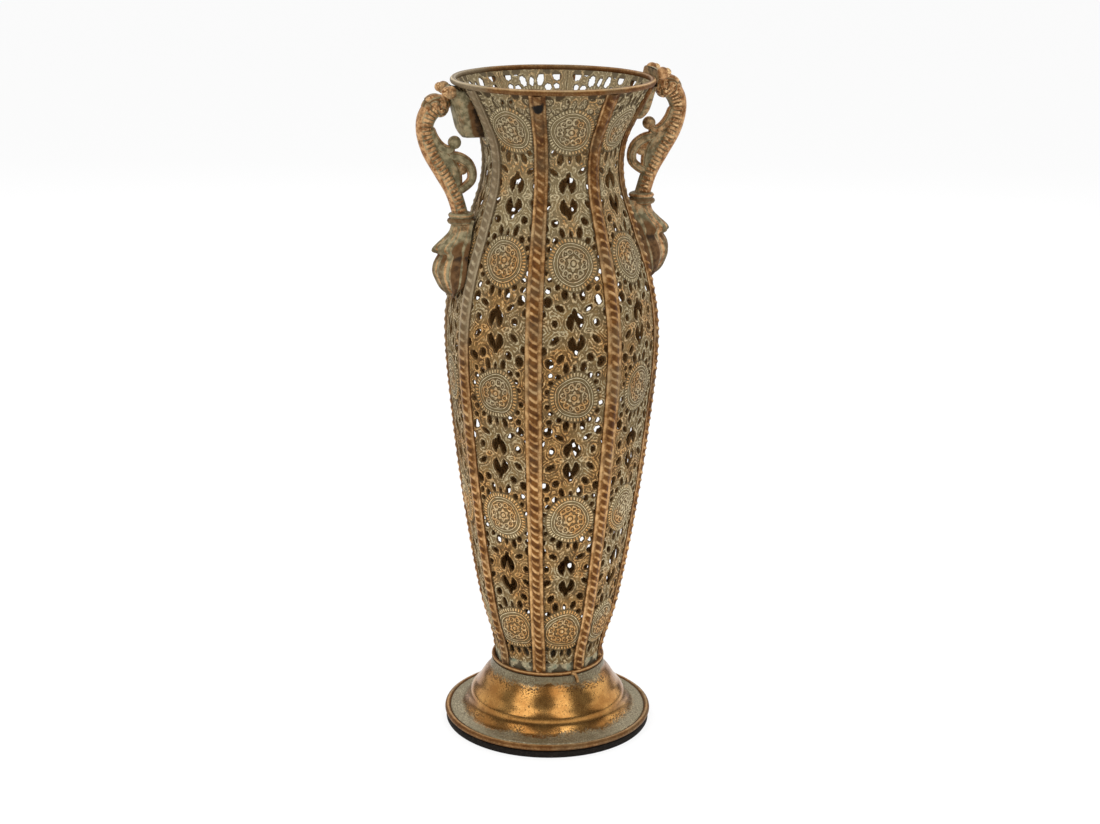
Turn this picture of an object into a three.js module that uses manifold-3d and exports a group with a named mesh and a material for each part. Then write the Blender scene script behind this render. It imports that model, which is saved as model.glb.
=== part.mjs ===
// Openwork metal vase: eight pierced sheet panels, domed straps over their seams, wire hoops at the
// mouth, the collar and the base, a spun foot on a dark pad, and two cast scroll handles on rivets.
// Millimetres, +Z up. The origin is on the floor under the axis, and the handles point along +X and -X.
import * as THREE from 'three';
import { mergeVertices } from 'three/addons/utils/BufferGeometryUtils.js';
import Module from 'manifold-3d';

const wasm = await Module();
wasm.setup();

// Clearances
const SEAT_GAP = 0.3;
const RIVET_CLEARANCE = 0.3;

// Base pad, base hoop and spun foot
const PAD_OVERHANG = 1.1;
const PAD_HEIGHT = 4.7;
const BASE_HOOP_RADIUS = 67.4;
const BASE_WIRE_RADIUS = 2;
const FOOT_SHEET = 1.2;
const FLANGE_DROP = 0.6;
const FLANGE_INNER_RADIUS = 57;
const FLANGE_HEIGHT = 9.5;
const CREASE_RADIUS = 50.4;
const CREASE_HEIGHT = 19.2;
const COVE_DEPTH = 2.6;
const BELL_RADIUS = 45.6;
const BELL_HEIGHT = 28.8;
const SHOULDER_RADIUS = 40.5;
const SHOULDER_HEIGHT = 35;
const FOOT_NECK_RADIUS = 37.6;
const FOOT_NECK_HEIGHT = 38.6;
const FOOT_TOP_HEIGHT = 43.4;
const LEDGE_WIDTH = 2.4;

// Floor of the body and collar hoop
const FLOOR_THICKNESS = 1.2;
const FLOOR_RADIUS = 35;
const COLLAR_WIRE_RADIUS = 1.3;
const COLLAR_HOOP_RADIUS = 36.5;

// Body: outer face of the panels along a seam, as radius and height above the floor of the body
const PANEL_COUNT = 8;
const SHEET = 0.8;
const FLATNESS = 0.5;
const ROUND_END = 0.16;
const SEAM_PROFILE = [
  [34.4, 0],
  [36.4, 14.5],
  [45, 44.5],
  [55, 100.5],
  [63.4, 164.5],
  [68.2, 224.5],
  [63, 264.5],
  [53.4, 294.5],
  [44.2, 324.5],
  [44.6, 348.5],
  [53, 368.5],
  [61.6, 385.2],
];
const STATIONS_PER_SPAN = 2;
const PANEL_COLUMNS = 2;

// Pierced pattern of one panel, measured along the panel and across it from its centre line
const PATTERN_PITCH = 83.6;
const TOP_MEDALLION = 26.5;
const SPADE_BRIDGE = 5;
const SPADE_LENGTH = 13;
const SPADE_HALF_WIDTH = 5.6;
const SPADE_LOBE = 8;
const SPADE_FOOT = 2.6;
const SPADE_NOTCH = 4;
// Openings in each corner of a medallion: distance across and along from its centre, width and length
const CORNER_OPENINGS = [
  [5.6, 18, 4, 6.2],
  [16.8, 22, 5.6, 6.4],
];
const PLAIN_EDGE = 5;
const SHEET_BORDER = 1.6;
const CUTTER_OVERRUN = 2;

// Straps over the seams
const STRAP_WIDTH = 10;
const STRAP_EDGE = 0.6;
const STRAP_DOME = 2.2;
const STRAP_COLUMNS = 4;

// Mouth hoop
const RIM_WIRE_RADIUS = 1.6;
const RIM_OVERHANG = 1.2;

// Handles: distance of each one's upper rivet below the top edge of the body
const LEFT_RIVET_DROP = 20.4;
const RIGHT_RIVET_DROP = 11.4;
// Collar ring of a handle; the heights of its other features are measured from this ring
const COLLAR_RING_RADIUS = 8;
const COLLAR_RING_LENGTH = 5.5;
const COLLAR_RING_REACH = 58.6;
// Spine stations: reach from the axis, height, half depth in the handle's plane, half width across it
const SPINE = [
  [65, 71.5, 4.4, 6],
  [73.5, 71, 6.4, 7],
  [79.8, 64, 6, 6],
  [81.4, 54.5, 5.3, 5.2],
  [78, 42.5, 5.3, 5.2],
  [70.6, 29.5, 5.3, 5.2],
  [63.4, 16, 5, 5.2],
  [58.6, 0, 5, 5.5],
  [58.2, -6, 5.4, 6],
];
// Knob at the head of the spine, as reach, height and radius
const BUD = [74, 70.2, 7.4];
// Curls and web on the inner side of the spine, as reach, height and half thickness
const UPPER_CURL = [
  [75, 49.5, 3],
  [72, 43.5, 3],
  [67, 41, 2.8],
  [62.5, 43.5, 2.8],
];
const UPPER_BALL = [61.6, 47.2, 3.5];
const WEB = [
  [73, 43, 3.4],
  [67, 36.5, 4.6],
  [63, 28.5, 4.6],
  [61, 18.5, 3.2],
];
const LOWER_CURL = [
  [67, 38.5, 3.2],
  [60, 37.8, 3.2],
  [54.2, 34.2, 3],
  [51.2, 29, 2.8],
  [51.6, 24, 2.7],
  [54.8, 20.6, 2.7],
  [61, 16.5, 2.8],
];
const LOWER_BALL = [57.2, 25.4, 3];
const CURL_HALF_WIDTH = 3.6;
// Lug plate against the flare of the neck: height, reach of its outer face, half width
const LUG_THICKNESS = 14;
const LUG_CROWN = 0.15;
const LUG = [
  [51.5, 58.5, 7],
  [54, 60.5, 10],
  [58, 62.4, 13],
  [65, 64.3, 15],
  [72, 66, 15.5],
  [80, 68, 14.5],
];
// Ears on the top corners of the lug, as reach, height and radius, at a distance to each side
const EAR = [67.4, 80.5, 4.2];
const EAR_SPREAD = 10.5;
// Fluted leaf over the shoulder: height, reach of its ridge, half width
const LEAF_THICKNESS = 12;
const LEAF_CROWN = 0.6;
const LEAF = [
  [-47, 64.5, 9],
  [-39.5, 73.3, 16.5],
  [-34, 75.8, 17],
  [-28, 75, 15.5],
  [-22, 72, 13.5],
  [-17.5, 75, 12.5],
  [-13, 70.2, 11],
  [-8, 66, 8.5],
  [-1, 64.5, 7],
];
const PATCH_COLUMNS = 6;

// Rivets that hold each handle from inside the body
const RIVET_SHANK_RADIUS = 1.6;
const RIVET_HEAD_RADIUS = 3.4;
const RIVET_HEAD_THICKNESS = 1.6;
const RIVET_HEAD_FLAT = 0.7;
const RIVET_GRIP = 4;
const UPPER_RIVET_HEIGHT = 63;
const LOWER_RIVET_HEIGHT = -29;

// Facets
const MERGE_DISTANCE = 1e-4;
const HALVINGS = 40;
const HOOP_SEGMENTS = 32;
const WIRE_SIDES = 6;
const SPINE_SIDES = 8;
const RIVET_SIDES = 10;
const COLLAR_RING_SIDES = 12;
const PIERCING_CUT = { bevelEnabled: false, curveSegments: 2 };
const OUTLINE_SEGMENTS = 2;
const SPINE_STEPS = 14;
const CURL_STEPS = 7;

// Sizes that follow from the ones above
const UP = new THREE.Vector3(0, 0, 1);
const PANEL_ANGLE = (2 * Math.PI) / PANEL_COUNT;
const SPADE_FAR_END = (PATTERN_PITCH - SPADE_BRIDGE) / 2;
const PAD_RADIUS = BASE_HOOP_RADIUS + PAD_OVERHANG;
const BASE_HOOP_HEIGHT = PAD_HEIGHT + SEAT_GAP + BASE_WIRE_RADIUS;
const FLOOR_TOP = FOOT_TOP_HEIGHT;
const FLOOR_BOTTOM = FLOOR_TOP - FLOOR_THICKNESS;
const BODY_BOTTOM = FLOOR_TOP + SEAT_GAP;
const COLLAR_HOOP_HEIGHT = FOOT_TOP_HEIGHT + SEAT_GAP + COLLAR_WIRE_RADIUS;
const SPAN_COUNT = SEAM_PROFILE.length - 1;
const STATION_COUNT = SPAN_COUNT * STATIONS_PER_SPAN;
const seamCurve = new THREE.SplineCurve(
  SEAM_PROFILE.map(([radius, height]) => new THREE.Vector2(radius, BODY_BOTTOM + height)),
);
const SEAM_LENGTH = seamCurve.getLength();
const BODY_TOP = seamCurve.getPoint(1);
const RIM_HOOP_RADIUS = BODY_TOP.x + RIM_OVERHANG;
const RIM_HOOP_HEIGHT = BODY_TOP.y + SEAT_GAP + RIM_WIRE_RADIUS;
const RIM_OUTER_RADIUS = RIM_HOOP_RADIUS + RIM_WIRE_RADIUS;
const LEFT_COLLAR_HEIGHT = BODY_TOP.y - LEFT_RIVET_DROP - UPPER_RIVET_HEIGHT;
const RIGHT_COLLAR_HEIGHT = BODY_TOP.y - RIGHT_RIVET_DROP - UPPER_RIVET_HEIGHT;
const MOUTH_CLEAR_HEIGHT = BODY_TOP.y + UPPER_RIVET_HEIGHT;

// Solid from a closed geometry, and geometry from a solid
function toSolid(geometry) {
  const bare = geometry.clone();
  bare.deleteAttribute('normal');
  bare.deleteAttribute('uv');
  const merged = mergeVertices(bare, MERGE_DISTANCE);
  const vertProperties = new Float32Array(merged.attributes.position.array);
  const triVerts = new Uint32Array(merged.index.array);
  return new wasm.Manifold(new wasm.Mesh({ numProp: 3, vertProperties, triVerts }));
}

function toGeometry(solid) {
  const mesh = solid.getMesh();
  const geometry = new THREE.BufferGeometry();
  geometry.setAttribute('position', new THREE.BufferAttribute(mesh.vertProperties, 3));
  geometry.setIndex(new THREE.BufferAttribute(mesh.triVerts, 1));
  return geometry;
}

function joined(geometries) {
  return geometries.map(toSolid).reduce((whole, piece) => whole.add(piece));
}

function indexedGeometry(points, triangles) {
  const geometry = new THREE.BufferGeometry();
  geometry.setFromPoints(points);
  geometry.setIndex(triangles);
  return geometry;
}

// Closed plate over a grid: face 1 is the outer side and face 0 the inner one;
// across and along run from 0 to 1
function plate(columns, rows, pointAt) {
  const points = [];
  const triangles = [];
  const width = columns + 1;
  const faceSize = width * (rows + 1);
  const index = (face, column, row) => face * faceSize + row * width + column;
  const quad = (a, b, c, d) => triangles.push(a, b, c, a, c, d);
  for (const face of [0, 1]) {
    for (let row = 0; row <= rows; row++) {
      for (let column = 0; column <= columns; column++) {
        points.push(pointAt(column / columns, row / rows, face));
      }
    }
  }
  for (let row = 0; row < rows; row++) {
    for (let column = 0; column < columns; column++) {
      const next = column + 1;
      quad(index(1, column, row), index(1, next, row), index(1, next, row + 1), index(1, column, row + 1));
      quad(index(0, column, row), index(0, column, row + 1), index(0, next, row + 1), index(0, next, row));
    }
    const above = row + 1;
    const end = columns;
    quad(index(0, 0, row), index(1, 0, row), index(1, 0, above), index(0, 0, above));
    quad(index(1, end, row), index(0, end, row), index(0, end, above), index(1, end, above));
  }
  for (let column = 0; column < columns; column++) {
    const next = column + 1;
    quad(index(0, column, 0), index(0, next, 0), index(1, next, 0), index(1, column, 0));
    quad(index(1, column, rows), index(1, next, rows), index(0, next, rows), index(0, column, rows));
  }
  return indexedGeometry(points, triangles);
}

// Closed bar through rings of points, with a flat cap on each end
function bar(rings) {
  const points = rings.flat();
  const triangles = [];
  const sides = rings[0].length;
  const last = (rings.length - 1) * sides;
  for (let ring = 0; ring < rings.length - 1; ring++) {
    for (let side = 0; side < sides; side++) {
      const a = ring * sides + side;
      const b = ring * sides + ((side + 1) % sides);
      triangles.push(a, b, b + sides, a, b + sides, a + sides);
    }
  }
  for (let side = 1; side < sides - 1; side++) {
    triangles.push(0, side + 1, side);
    triangles.push(last, last + side, last + side + 1);
  }
  return indexedGeometry(points, triangles);
}

// Bar in the handle's plane along stations of reach, height, half depth and half width
function handleBar(stations, steps, sides) {
  const middles = stations.map(([reach, height]) => new THREE.Vector3(reach, 0, height));
  const sizes = stations.map(([, , depth, width]) => new THREE.Vector2(depth, width));
  const centre = new THREE.CatmullRomCurve3(middles);
  const section = new THREE.SplineCurve(sizes);
  const rings = [];
  for (let step = 0; step <= steps; step++) {
    const along = step / steps;
    const middle = centre.getPoint(along);
    const tangent = centre.getTangent(along);
    const inPlane = new THREE.Vector3(tangent.z, 0, -tangent.x);
    const size = section.getPoint(along);
    const ring = [];
    for (let side = 0; side < sides; side++) {
      const turn = (2 * Math.PI * side) / sides;
      const point = middle.clone().addScaledVector(inPlane, size.x * Math.cos(turn));
      point.y += size.y * Math.sin(turn);
      ring.push(point);
    }
    rings.push(ring);
  }
  return bar(rings);
}

function ball([reach, height, radius], aside = 0) {
  return new THREE.IcosahedronGeometry(radius, 1).translate(reach, aside, height);
}

// Wire hoop round the axis
function hoop(radius, height, wireRadius) {
  const section = [];
  for (let side = 0; side <= WIRE_SIDES; side++) {
    const turn = (2 * Math.PI * side) / WIRE_SIDES;
    const outward = wireRadius * Math.cos(turn);
    const upward = wireRadius * Math.sin(turn);
    section.push(new THREE.Vector2(radius + outward, height + upward));
  }
  return turned(section);
}

// Turned solid round the axis from a profile of radius and height that runs up its outer side
function turned(profile) {
  return new THREE.LatheGeometry(profile, HOOP_SEGMENTS).rotateX(Math.PI / 2);
}

function cylinderAlongX(radius, from, to, height) {
  const upright = new THREE.CylinderGeometry(radius, radius, to - from, RIVET_SIDES);
  return upright.rotateZ(Math.PI / 2).translate((from + to) / 2, 0, height);
}

// Point of the body: along runs from the bottom to the top of the seam curve, and the cross-section
// between two seams is flattened towards a straight chord except at the round ends
function bodyPoint(along, angle, offset) {
  const seam = seamCurve.getPoint(along);
  const tangent = seamCurve.getTangent(along);
  const fromCentre = angle - Math.round(angle / PANEL_ANGLE) * PANEL_ANGLE;
  const chord = Math.cos(PANEL_ANGLE / 2) / Math.cos(fromCentre);
  const lower = THREE.MathUtils.smoothstep(along, 0, ROUND_END);
  const upper = THREE.MathUtils.smoothstep(1 - along, 0, ROUND_END);
  const radius = seam.x * (1 + FLATNESS * lower * upper * (chord - 1)) + offset * tangent.y;
  return new THREE.Vector3(radius * Math.cos(angle), radius * Math.sin(angle), seam.y - offset * tangent.x);
}

// Point over the panels' facets, which run straight between the stations of the body
function facetPoint(along, angle, offset) {
  const place = along * STATION_COUNT;
  const lower = Math.floor(place);
  const below = bodyPoint(lower / STATION_COUNT, angle, offset);
  const above = bodyPoint(Math.ceil(place) / STATION_COUNT, angle, offset);
  return below.lerp(above, place - lower);
}

// Place on the seam curve at a distance along the sheet below the top edge
function alongBelowTop(distance) {
  return seamCurve.getUtoTmapping(1 - distance / SEAM_LENGTH);
}

// Place on the seam curve at a height above the floor
function alongAtHeight(height) {
  let low = 0;
  let high = 1;
  for (let halving = 0; halving < HALVINGS; halving++) {
    const middle = (low + high) / 2;
    if (seamCurve.getPoint(middle).y < height) low = middle;
    else high = middle;
  }
  return low;
}

function halfPanelAngle(along) {
  return PANEL_ANGLE / 2 - SEAT_GAP / 2 / seamCurve.getPoint(along).x;
}

// Heart-shaped opening with its tip at the origin and its notched end along +Y
function spadeShape() {
  const shape = new THREE.Shape();
  shape.moveTo(0, 0);
  shape.lineTo(SPADE_HALF_WIDTH, SPADE_LOBE);
  shape.lineTo(SPADE_FOOT, SPADE_LENGTH);
  shape.lineTo(0, SPADE_LENGTH - SPADE_NOTCH);
  shape.lineTo(-SPADE_FOOT, SPADE_LENGTH);
  shape.lineTo(-SPADE_HALF_WIDTH, SPADE_LOBE);
  return shape;
}

// Four-cornered opening round the origin
function diamondShape(width, length) {
  const shape = new THREE.Shape();
  shape.moveTo(0, -length / 2);
  shape.lineTo(width / 2, 0);
  shape.lineTo(0, length / 2);
  shape.lineTo(-width / 2, 0);
  return shape;
}

// Cutter through the sheet at a distance below the top edge and across from the centre line;
// facing +1 keeps the shape's +Y up along the panel and -1 turns it down
function piercing(shape, distance, across, facing) {
  const along = alongBelowTop(distance);
  const seamRadius = seamCurve.getPoint(along).x;
  const angle = across / seamRadius;
  const sagitta = FLATNESS * seamRadius * (1 - Math.cos(PANEL_ANGLE / 2));
  const reach = SHEET + sagitta + CUTTER_OVERRUN;
  const up = seamCurve.getTangent(along);
  const upward = new THREE.Vector3(up.x * Math.cos(angle), up.x * Math.sin(angle), up.y);
  const sideways = new THREE.Vector3(-Math.sin(angle), Math.cos(angle), 0);
  const outward = new THREE.Vector3().crossVectors(sideways, upward);
  const turn = facing < 0 ? Math.PI : 0;
  const cutter = new THREE.ExtrudeGeometry(shape, { ...PIERCING_CUT, depth: 2 * reach });
  cutter.translate(0, 0, -reach);
  cutter.rotateZ(turn);
  const place = new THREE.Matrix4().makeBasis(sideways, upward, outward);
  return cutter.applyMatrix4(place.setPosition(bodyPoint(along, angle, 0)));
}

// Whether a stretch of sheet, given by distances below the top edge, keeps off the plain ends of a panel
function offPlainEnds(from, to) {
  return Math.min(from, to) > PLAIN_EDGE && Math.max(from, to) < SEAM_LENGTH - PLAIN_EDGE;
}

// Half the width of the sheet at a distance below the top edge
function sheetHalfWidth(distance) {
  return seamCurve.getPoint(alongBelowTop(distance)).x * Math.sin(PANEL_ANGLE / 2);
}

// Whether an opening across from the centre line shows beside the straps and leaves the sheet its border
function fitsBetweenStraps(distance, across, width) {
  const half = sheetHalfWidth(distance);
  return across < half - STRAP_WIDTH / 2 && across + width / 2 < half - SHEET_BORDER;
}

// Openings round one medallion where the sheet has room:
// a heart above and below it and the corner openings on both sides
function medallionPiercings(distance) {
  const cutters = [];
  for (const facing of [1, -1]) {
    const spadeTo = distance - facing * SPADE_FAR_END;
    const spadeFrom = spadeTo + facing * SPADE_LENGTH;
    if (offPlainEnds(spadeFrom, spadeTo)) {
      cutters.push(piercing(spadeShape(), spadeFrom, 0, facing));
    }
    for (const [across, along, width, length] of CORNER_OPENINGS) {
      const place = distance - facing * along;
      const onSheet = offPlainEnds(place - length / 2, place + length / 2);
      if (onSheet && fitsBetweenStraps(place, across, width)) {
        cutters.push(piercing(diamondShape(width, length), place, across, facing));
        cutters.push(piercing(diamondShape(width, length), place, -across, facing));
      }
    }
  }
  return cutters;
}

// One pierced panel, centred on +X, with holes for rivets at the given heights
function panel(rivetHeights) {
  const sheet = plate(PANEL_COLUMNS, STATION_COUNT, (across, along, face) => {
    return bodyPoint(along, (2 * across - 1) * halfPanelAngle(along), face ? 0 : -SHEET);
  });
  const cutters = [];
  for (let distance = TOP_MEDALLION; distance < SEAM_LENGTH; distance += PATTERN_PITCH) {
    cutters.push(...medallionPiercings(distance));
  }
  for (const height of rivetHeights) {
    const reach = bodyPoint(alongAtHeight(height), 0, 0).x;
    const radius = RIVET_SHANK_RADIUS + RIVET_CLEARANCE;
    cutters.push(cylinderAlongX(radius, reach - RIVET_GRIP, reach + RIVET_GRIP, height));
  }
  return toGeometry(toSolid(sheet).subtract(joined(cutters)));
}

// One strap over a seam, centred on +X, between the collar hoop and the mouth hoop
function strap() {
  const bottom = alongAtHeight(COLLAR_HOOP_HEIGHT + COLLAR_WIRE_RADIUS + SEAT_GAP);
  const stations = [];
  for (let station = 0; station <= STATION_COUNT; station++) {
    stations.push(Math.max(bottom, station / STATION_COUNT));
  }
  const rows = stations.filter((along, row) => row === 0 || along > bottom);
  return plate(STRAP_COLUMNS, rows.length - 1, (across, along, face) => {
    const station = rows[Math.round(along * (rows.length - 1))];
    const side = 2 * across - 1;
    const angle = (side * STRAP_WIDTH) / 2 / seamCurve.getPoint(station).x;
    const crown = STRAP_EDGE + (STRAP_DOME - STRAP_EDGE) * Math.cos((side * Math.PI) / 2);
    const point = facetPoint(station, angle + PANEL_ANGLE / 2, SEAT_GAP + (face ? crown : 0));
    return point.applyAxisAngle(UP, -PANEL_ANGLE / 2);
  });
}

// Spun foot: flat flange, cove, bell and neck, with a ledge inside its lip for the floor of the body
function foot() {
  const flangeRadius = BASE_HOOP_RADIUS - BASE_WIRE_RADIUS - SEAT_GAP;
  const ledgeRadius = FLOOR_RADIUS + SEAT_GAP;
  const ledgeHeight = FLOOR_BOTTOM - SEAT_GAP;
  const coveRadius = CREASE_RADIUS + COVE_DEPTH / 2;
  const coveHeight = FLANGE_HEIGHT + COVE_DEPTH;
  const outline = new THREE.Path();
  outline.moveTo(flangeRadius, FLANGE_HEIGHT - FLANGE_DROP - FOOT_SHEET);
  outline.lineTo(flangeRadius, FLANGE_HEIGHT - FLANGE_DROP);
  outline.lineTo(FLANGE_INNER_RADIUS, FLANGE_HEIGHT);
  outline.quadraticCurveTo(coveRadius, coveHeight, CREASE_RADIUS, CREASE_HEIGHT);
  outline.quadraticCurveTo(BELL_RADIUS, BELL_HEIGHT, SHOULDER_RADIUS, SHOULDER_HEIGHT);
  outline.quadraticCurveTo(FOOT_NECK_RADIUS, FOOT_NECK_HEIGHT, FOOT_NECK_RADIUS, FOOT_TOP_HEIGHT);
  outline.lineTo(ledgeRadius, FOOT_TOP_HEIGHT);
  outline.lineTo(ledgeRadius, ledgeHeight);
  outline.lineTo(ledgeRadius - LEDGE_WIDTH, ledgeHeight);
  outline.lineTo(ledgeRadius - LEDGE_WIDTH, ledgeHeight - FOOT_SHEET);
  outline.lineTo(FOOT_NECK_RADIUS - FOOT_SHEET, ledgeHeight - FOOT_SHEET);
  outline.lineTo(SHOULDER_RADIUS - FOOT_SHEET, SHOULDER_HEIGHT - FOOT_SHEET);
  const creaseInside = [CREASE_RADIUS - FOOT_SHEET, CREASE_HEIGHT - FOOT_SHEET];
  const flangeInside = [FLANGE_INNER_RADIUS - FOOT_SHEET, FLANGE_HEIGHT - FOOT_SHEET];
  outline.quadraticCurveTo(BELL_RADIUS - FOOT_SHEET, BELL_HEIGHT - FOOT_SHEET, ...creaseInside);
  outline.quadraticCurveTo(coveRadius - FOOT_SHEET, coveHeight - FOOT_SHEET, ...flangeInside);
  outline.closePath();
  return turned(outline.getPoints(OUTLINE_SEGMENTS));
}

function disc(radius, bottom, top) {
  const corners = [[0, bottom], [radius, bottom], [radius, top], [0, top]];
  return turned(corners.map(([x, y]) => new THREE.Vector2(x, y)));
}

// Space that a handle keeps clear of: the body with its seat gap, the mouth hoop and the mouth above it
function bodyKeepOut() {
  const rings = [];
  const columns = PANEL_COUNT * PANEL_COLUMNS;
  for (let station = 0; station <= STATION_COUNT; station++) {
    const ring = [];
    for (let column = 0; column < columns; column++) {
      const angle = ((2 * column) / columns) * Math.PI - PANEL_ANGLE / 2;
      ring.push(bodyPoint(station / STATION_COUNT, angle, SEAT_GAP));
    }
    rings.push(ring);
  }
  const mouth = disc(RIM_OUTER_RADIUS + SEAT_GAP, BODY_TOP.y - SEAT_GAP, MOUTH_CLEAR_HEIGHT);
  return joined([bar(rings), mouth]);
}

// Curved patch in front of the body from rows of height, reach of its ridge and half width, lowest first;
// the crown is the share of the thickness by which its edges fall back from the ridge
function bodyPatch(rows, thickness, crown) {
  return plate(PATCH_COLUMNS, rows.length - 1, (across, along, face) => {
    const [height, reach, halfWidth] = rows[Math.round(along * (rows.length - 1))];
    const side = 2 * across - 1;
    const fall = thickness * crown * (1 - Math.cos((side * Math.PI) / 2));
    const bend = reach - Math.sqrt(reach * reach - (side * halfWidth) ** 2);
    const front = reach - fall - bend;
    return new THREE.Vector3(face ? front : front - thickness, side * halfWidth, height);
  });
}

function raised(rows, lift) {
  return rows.map(([height, reach, halfWidth]) => [height + lift, reach, halfWidth]);
}

// One cast handle on +X with its collar ring at the given height
function handle(collarHeight) {
  const lift = ([reach, height, ...sizes]) => [reach, height + collarHeight, ...sizes];
  const curl = ([reach, height, half]) => [reach, height + collarHeight, half, CURL_HALF_WIDTH];
  const ringSizes = [COLLAR_RING_RADIUS, COLLAR_RING_RADIUS, COLLAR_RING_LENGTH, COLLAR_RING_SIDES];
  const ring = new THREE.CylinderGeometry(...ringSizes);
  const casting = joined([
    handleBar(SPINE.map(lift), SPINE_STEPS, SPINE_SIDES),
    ball(lift(BUD)),
    handleBar(WEB.map(curl), CURL_STEPS, WIRE_SIDES),
    handleBar(UPPER_CURL.map(curl), CURL_STEPS, WIRE_SIDES),
    ball(lift(UPPER_BALL)),
    handleBar(LOWER_CURL.map(curl), CURL_STEPS, WIRE_SIDES),
    ball(lift(LOWER_BALL)),
    ring.rotateX(Math.PI / 2).translate(COLLAR_RING_REACH, 0, collarHeight),
    bodyPatch(raised(LUG, collarHeight), LUG_THICKNESS, LUG_CROWN),
    ball(lift(EAR), EAR_SPREAD),
    ball(lift(EAR), -EAR_SPREAD),
    bodyPatch(raised(LEAF, collarHeight), LEAF_THICKNESS, LEAF_CROWN),
  ]);
  const holes = rivetHeights(collarHeight).map((height) => {
    const reach = bodyPoint(alongAtHeight(height), 0, 0).x;
    const depth = RIVET_GRIP + 2 * RIVET_CLEARANCE;
    return cylinderAlongX(RIVET_SHANK_RADIUS + RIVET_CLEARANCE, reach - depth, reach + depth, height);
  });
  return toGeometry(casting.subtract(bodyKeepOut()).subtract(joined(holes)));
}

function rivetHeights(collarHeight) {
  return [collarHeight + UPPER_RIVET_HEIGHT, collarHeight + LOWER_RIVET_HEIGHT];
}

// Rivet on +X at a height: head inside the panel, shank through it into the handle's casting
function rivet(height) {
  const along = alongAtHeight(height);
  const outer = bodyPoint(along, 0, 0).x;
  const slope = Math.abs(seamCurve.getTangent(along).x / seamCurve.getTangent(along).y);
  const headFace = outer - SHEET - SEAT_GAP - slope * RIVET_HEAD_RADIUS;
  const tip = outer + RIVET_GRIP;
  const profile = [
    [0, headFace - RIVET_HEAD_THICKNESS],
    [RIVET_HEAD_RADIUS * RIVET_HEAD_FLAT, headFace - RIVET_HEAD_THICKNESS],
    [RIVET_HEAD_RADIUS, headFace - RIVET_HEAD_THICKNESS / 2],
    [RIVET_HEAD_RADIUS, headFace],
    [RIVET_SHANK_RADIUS, headFace],
    [RIVET_SHANK_RADIUS, tip],
    [0, tip],
  ].map(([radius, reach]) => new THREE.Vector2(radius, reach));
  return new THREE.LatheGeometry(profile, RIVET_SIDES).rotateZ(-Math.PI / 2).translate(0, 0, height);
}

function metal(color, roughness) {
  return new THREE.MeshStandardMaterial({ color, roughness, metalness: 0.9 });
}

const washedSheet = metal(0x8c7d62, 0.6);
const rubbedCopper = metal(0xa9703c, 0.4);
const spunBronze = metal(0x9a6430, 0.3);
const castBronze = metal(0x8a6a48, 0.5);
const darkPad = new THREE.MeshStandardMaterial({ color: 0x1c1815, roughness: 0.9, metalness: 0 });

const vase = new THREE.Group();

function add(name, geometry, material, turn = 0) {
  const mesh = new THREE.Mesh(geometry, material);
  mesh.name = name;
  mesh.rotation.z = turn;
  vase.add(mesh);
}

const plainPanel = panel([]);
const strapSolid = strap();
for (let number = 1; number <= PANEL_COUNT; number++) {
  const turn = (number - 1) * PANEL_ANGLE;
  const collarHeight = { 1: RIGHT_COLLAR_HEIGHT, [1 + PANEL_COUNT / 2]: LEFT_COLLAR_HEIGHT }[number];
  const sheet = collarHeight ? panel(rivetHeights(collarHeight)) : plainPanel;
  add(`panel_${number}`, sheet, washedSheet, turn);
  add(`strap_${number}`, strapSolid, rubbedCopper, turn + PANEL_ANGLE / 2);
}

add('rim_hoop', hoop(RIM_HOOP_RADIUS, RIM_HOOP_HEIGHT, RIM_WIRE_RADIUS), rubbedCopper);
add('collar_hoop', hoop(COLLAR_HOOP_RADIUS, COLLAR_HOOP_HEIGHT, COLLAR_WIRE_RADIUS), rubbedCopper);
add('base_hoop', hoop(BASE_HOOP_RADIUS, BASE_HOOP_HEIGHT, BASE_WIRE_RADIUS), rubbedCopper);
add('foot_bell', foot(), spunBronze);
add('body_floor', disc(FLOOR_RADIUS, FLOOR_BOTTOM, FLOOR_TOP), spunBronze);
add('base_pad', disc(PAD_RADIUS, 0, PAD_HEIGHT), darkPad);

const sides = [
  ['right', RIGHT_COLLAR_HEIGHT, 0],
  ['left', LEFT_COLLAR_HEIGHT, Math.PI],
];
for (const [side, collarHeight, turn] of sides) {
  const [upper, lower] = rivetHeights(collarHeight);
  add(`handle_${side}`, handle(collarHeight), castBronze, turn);
  add(`handle_${side}_upper_rivet`, rivet(upper), rubbedCopper, turn);
  add(`handle_${side}_lower_rivet`, rivet(lower), rubbedCopper, turn);
}

export default vase;
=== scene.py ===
"""Looks of the openwork metal vase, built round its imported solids.

Sizes are in millimetres until a piece becomes a mesh, which is in metres. +Z is up along the axis of the
vase, and the handles point along +X and -X.
"""

import math

import bpy
import numpy as np
from mathutils import Matrix


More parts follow.
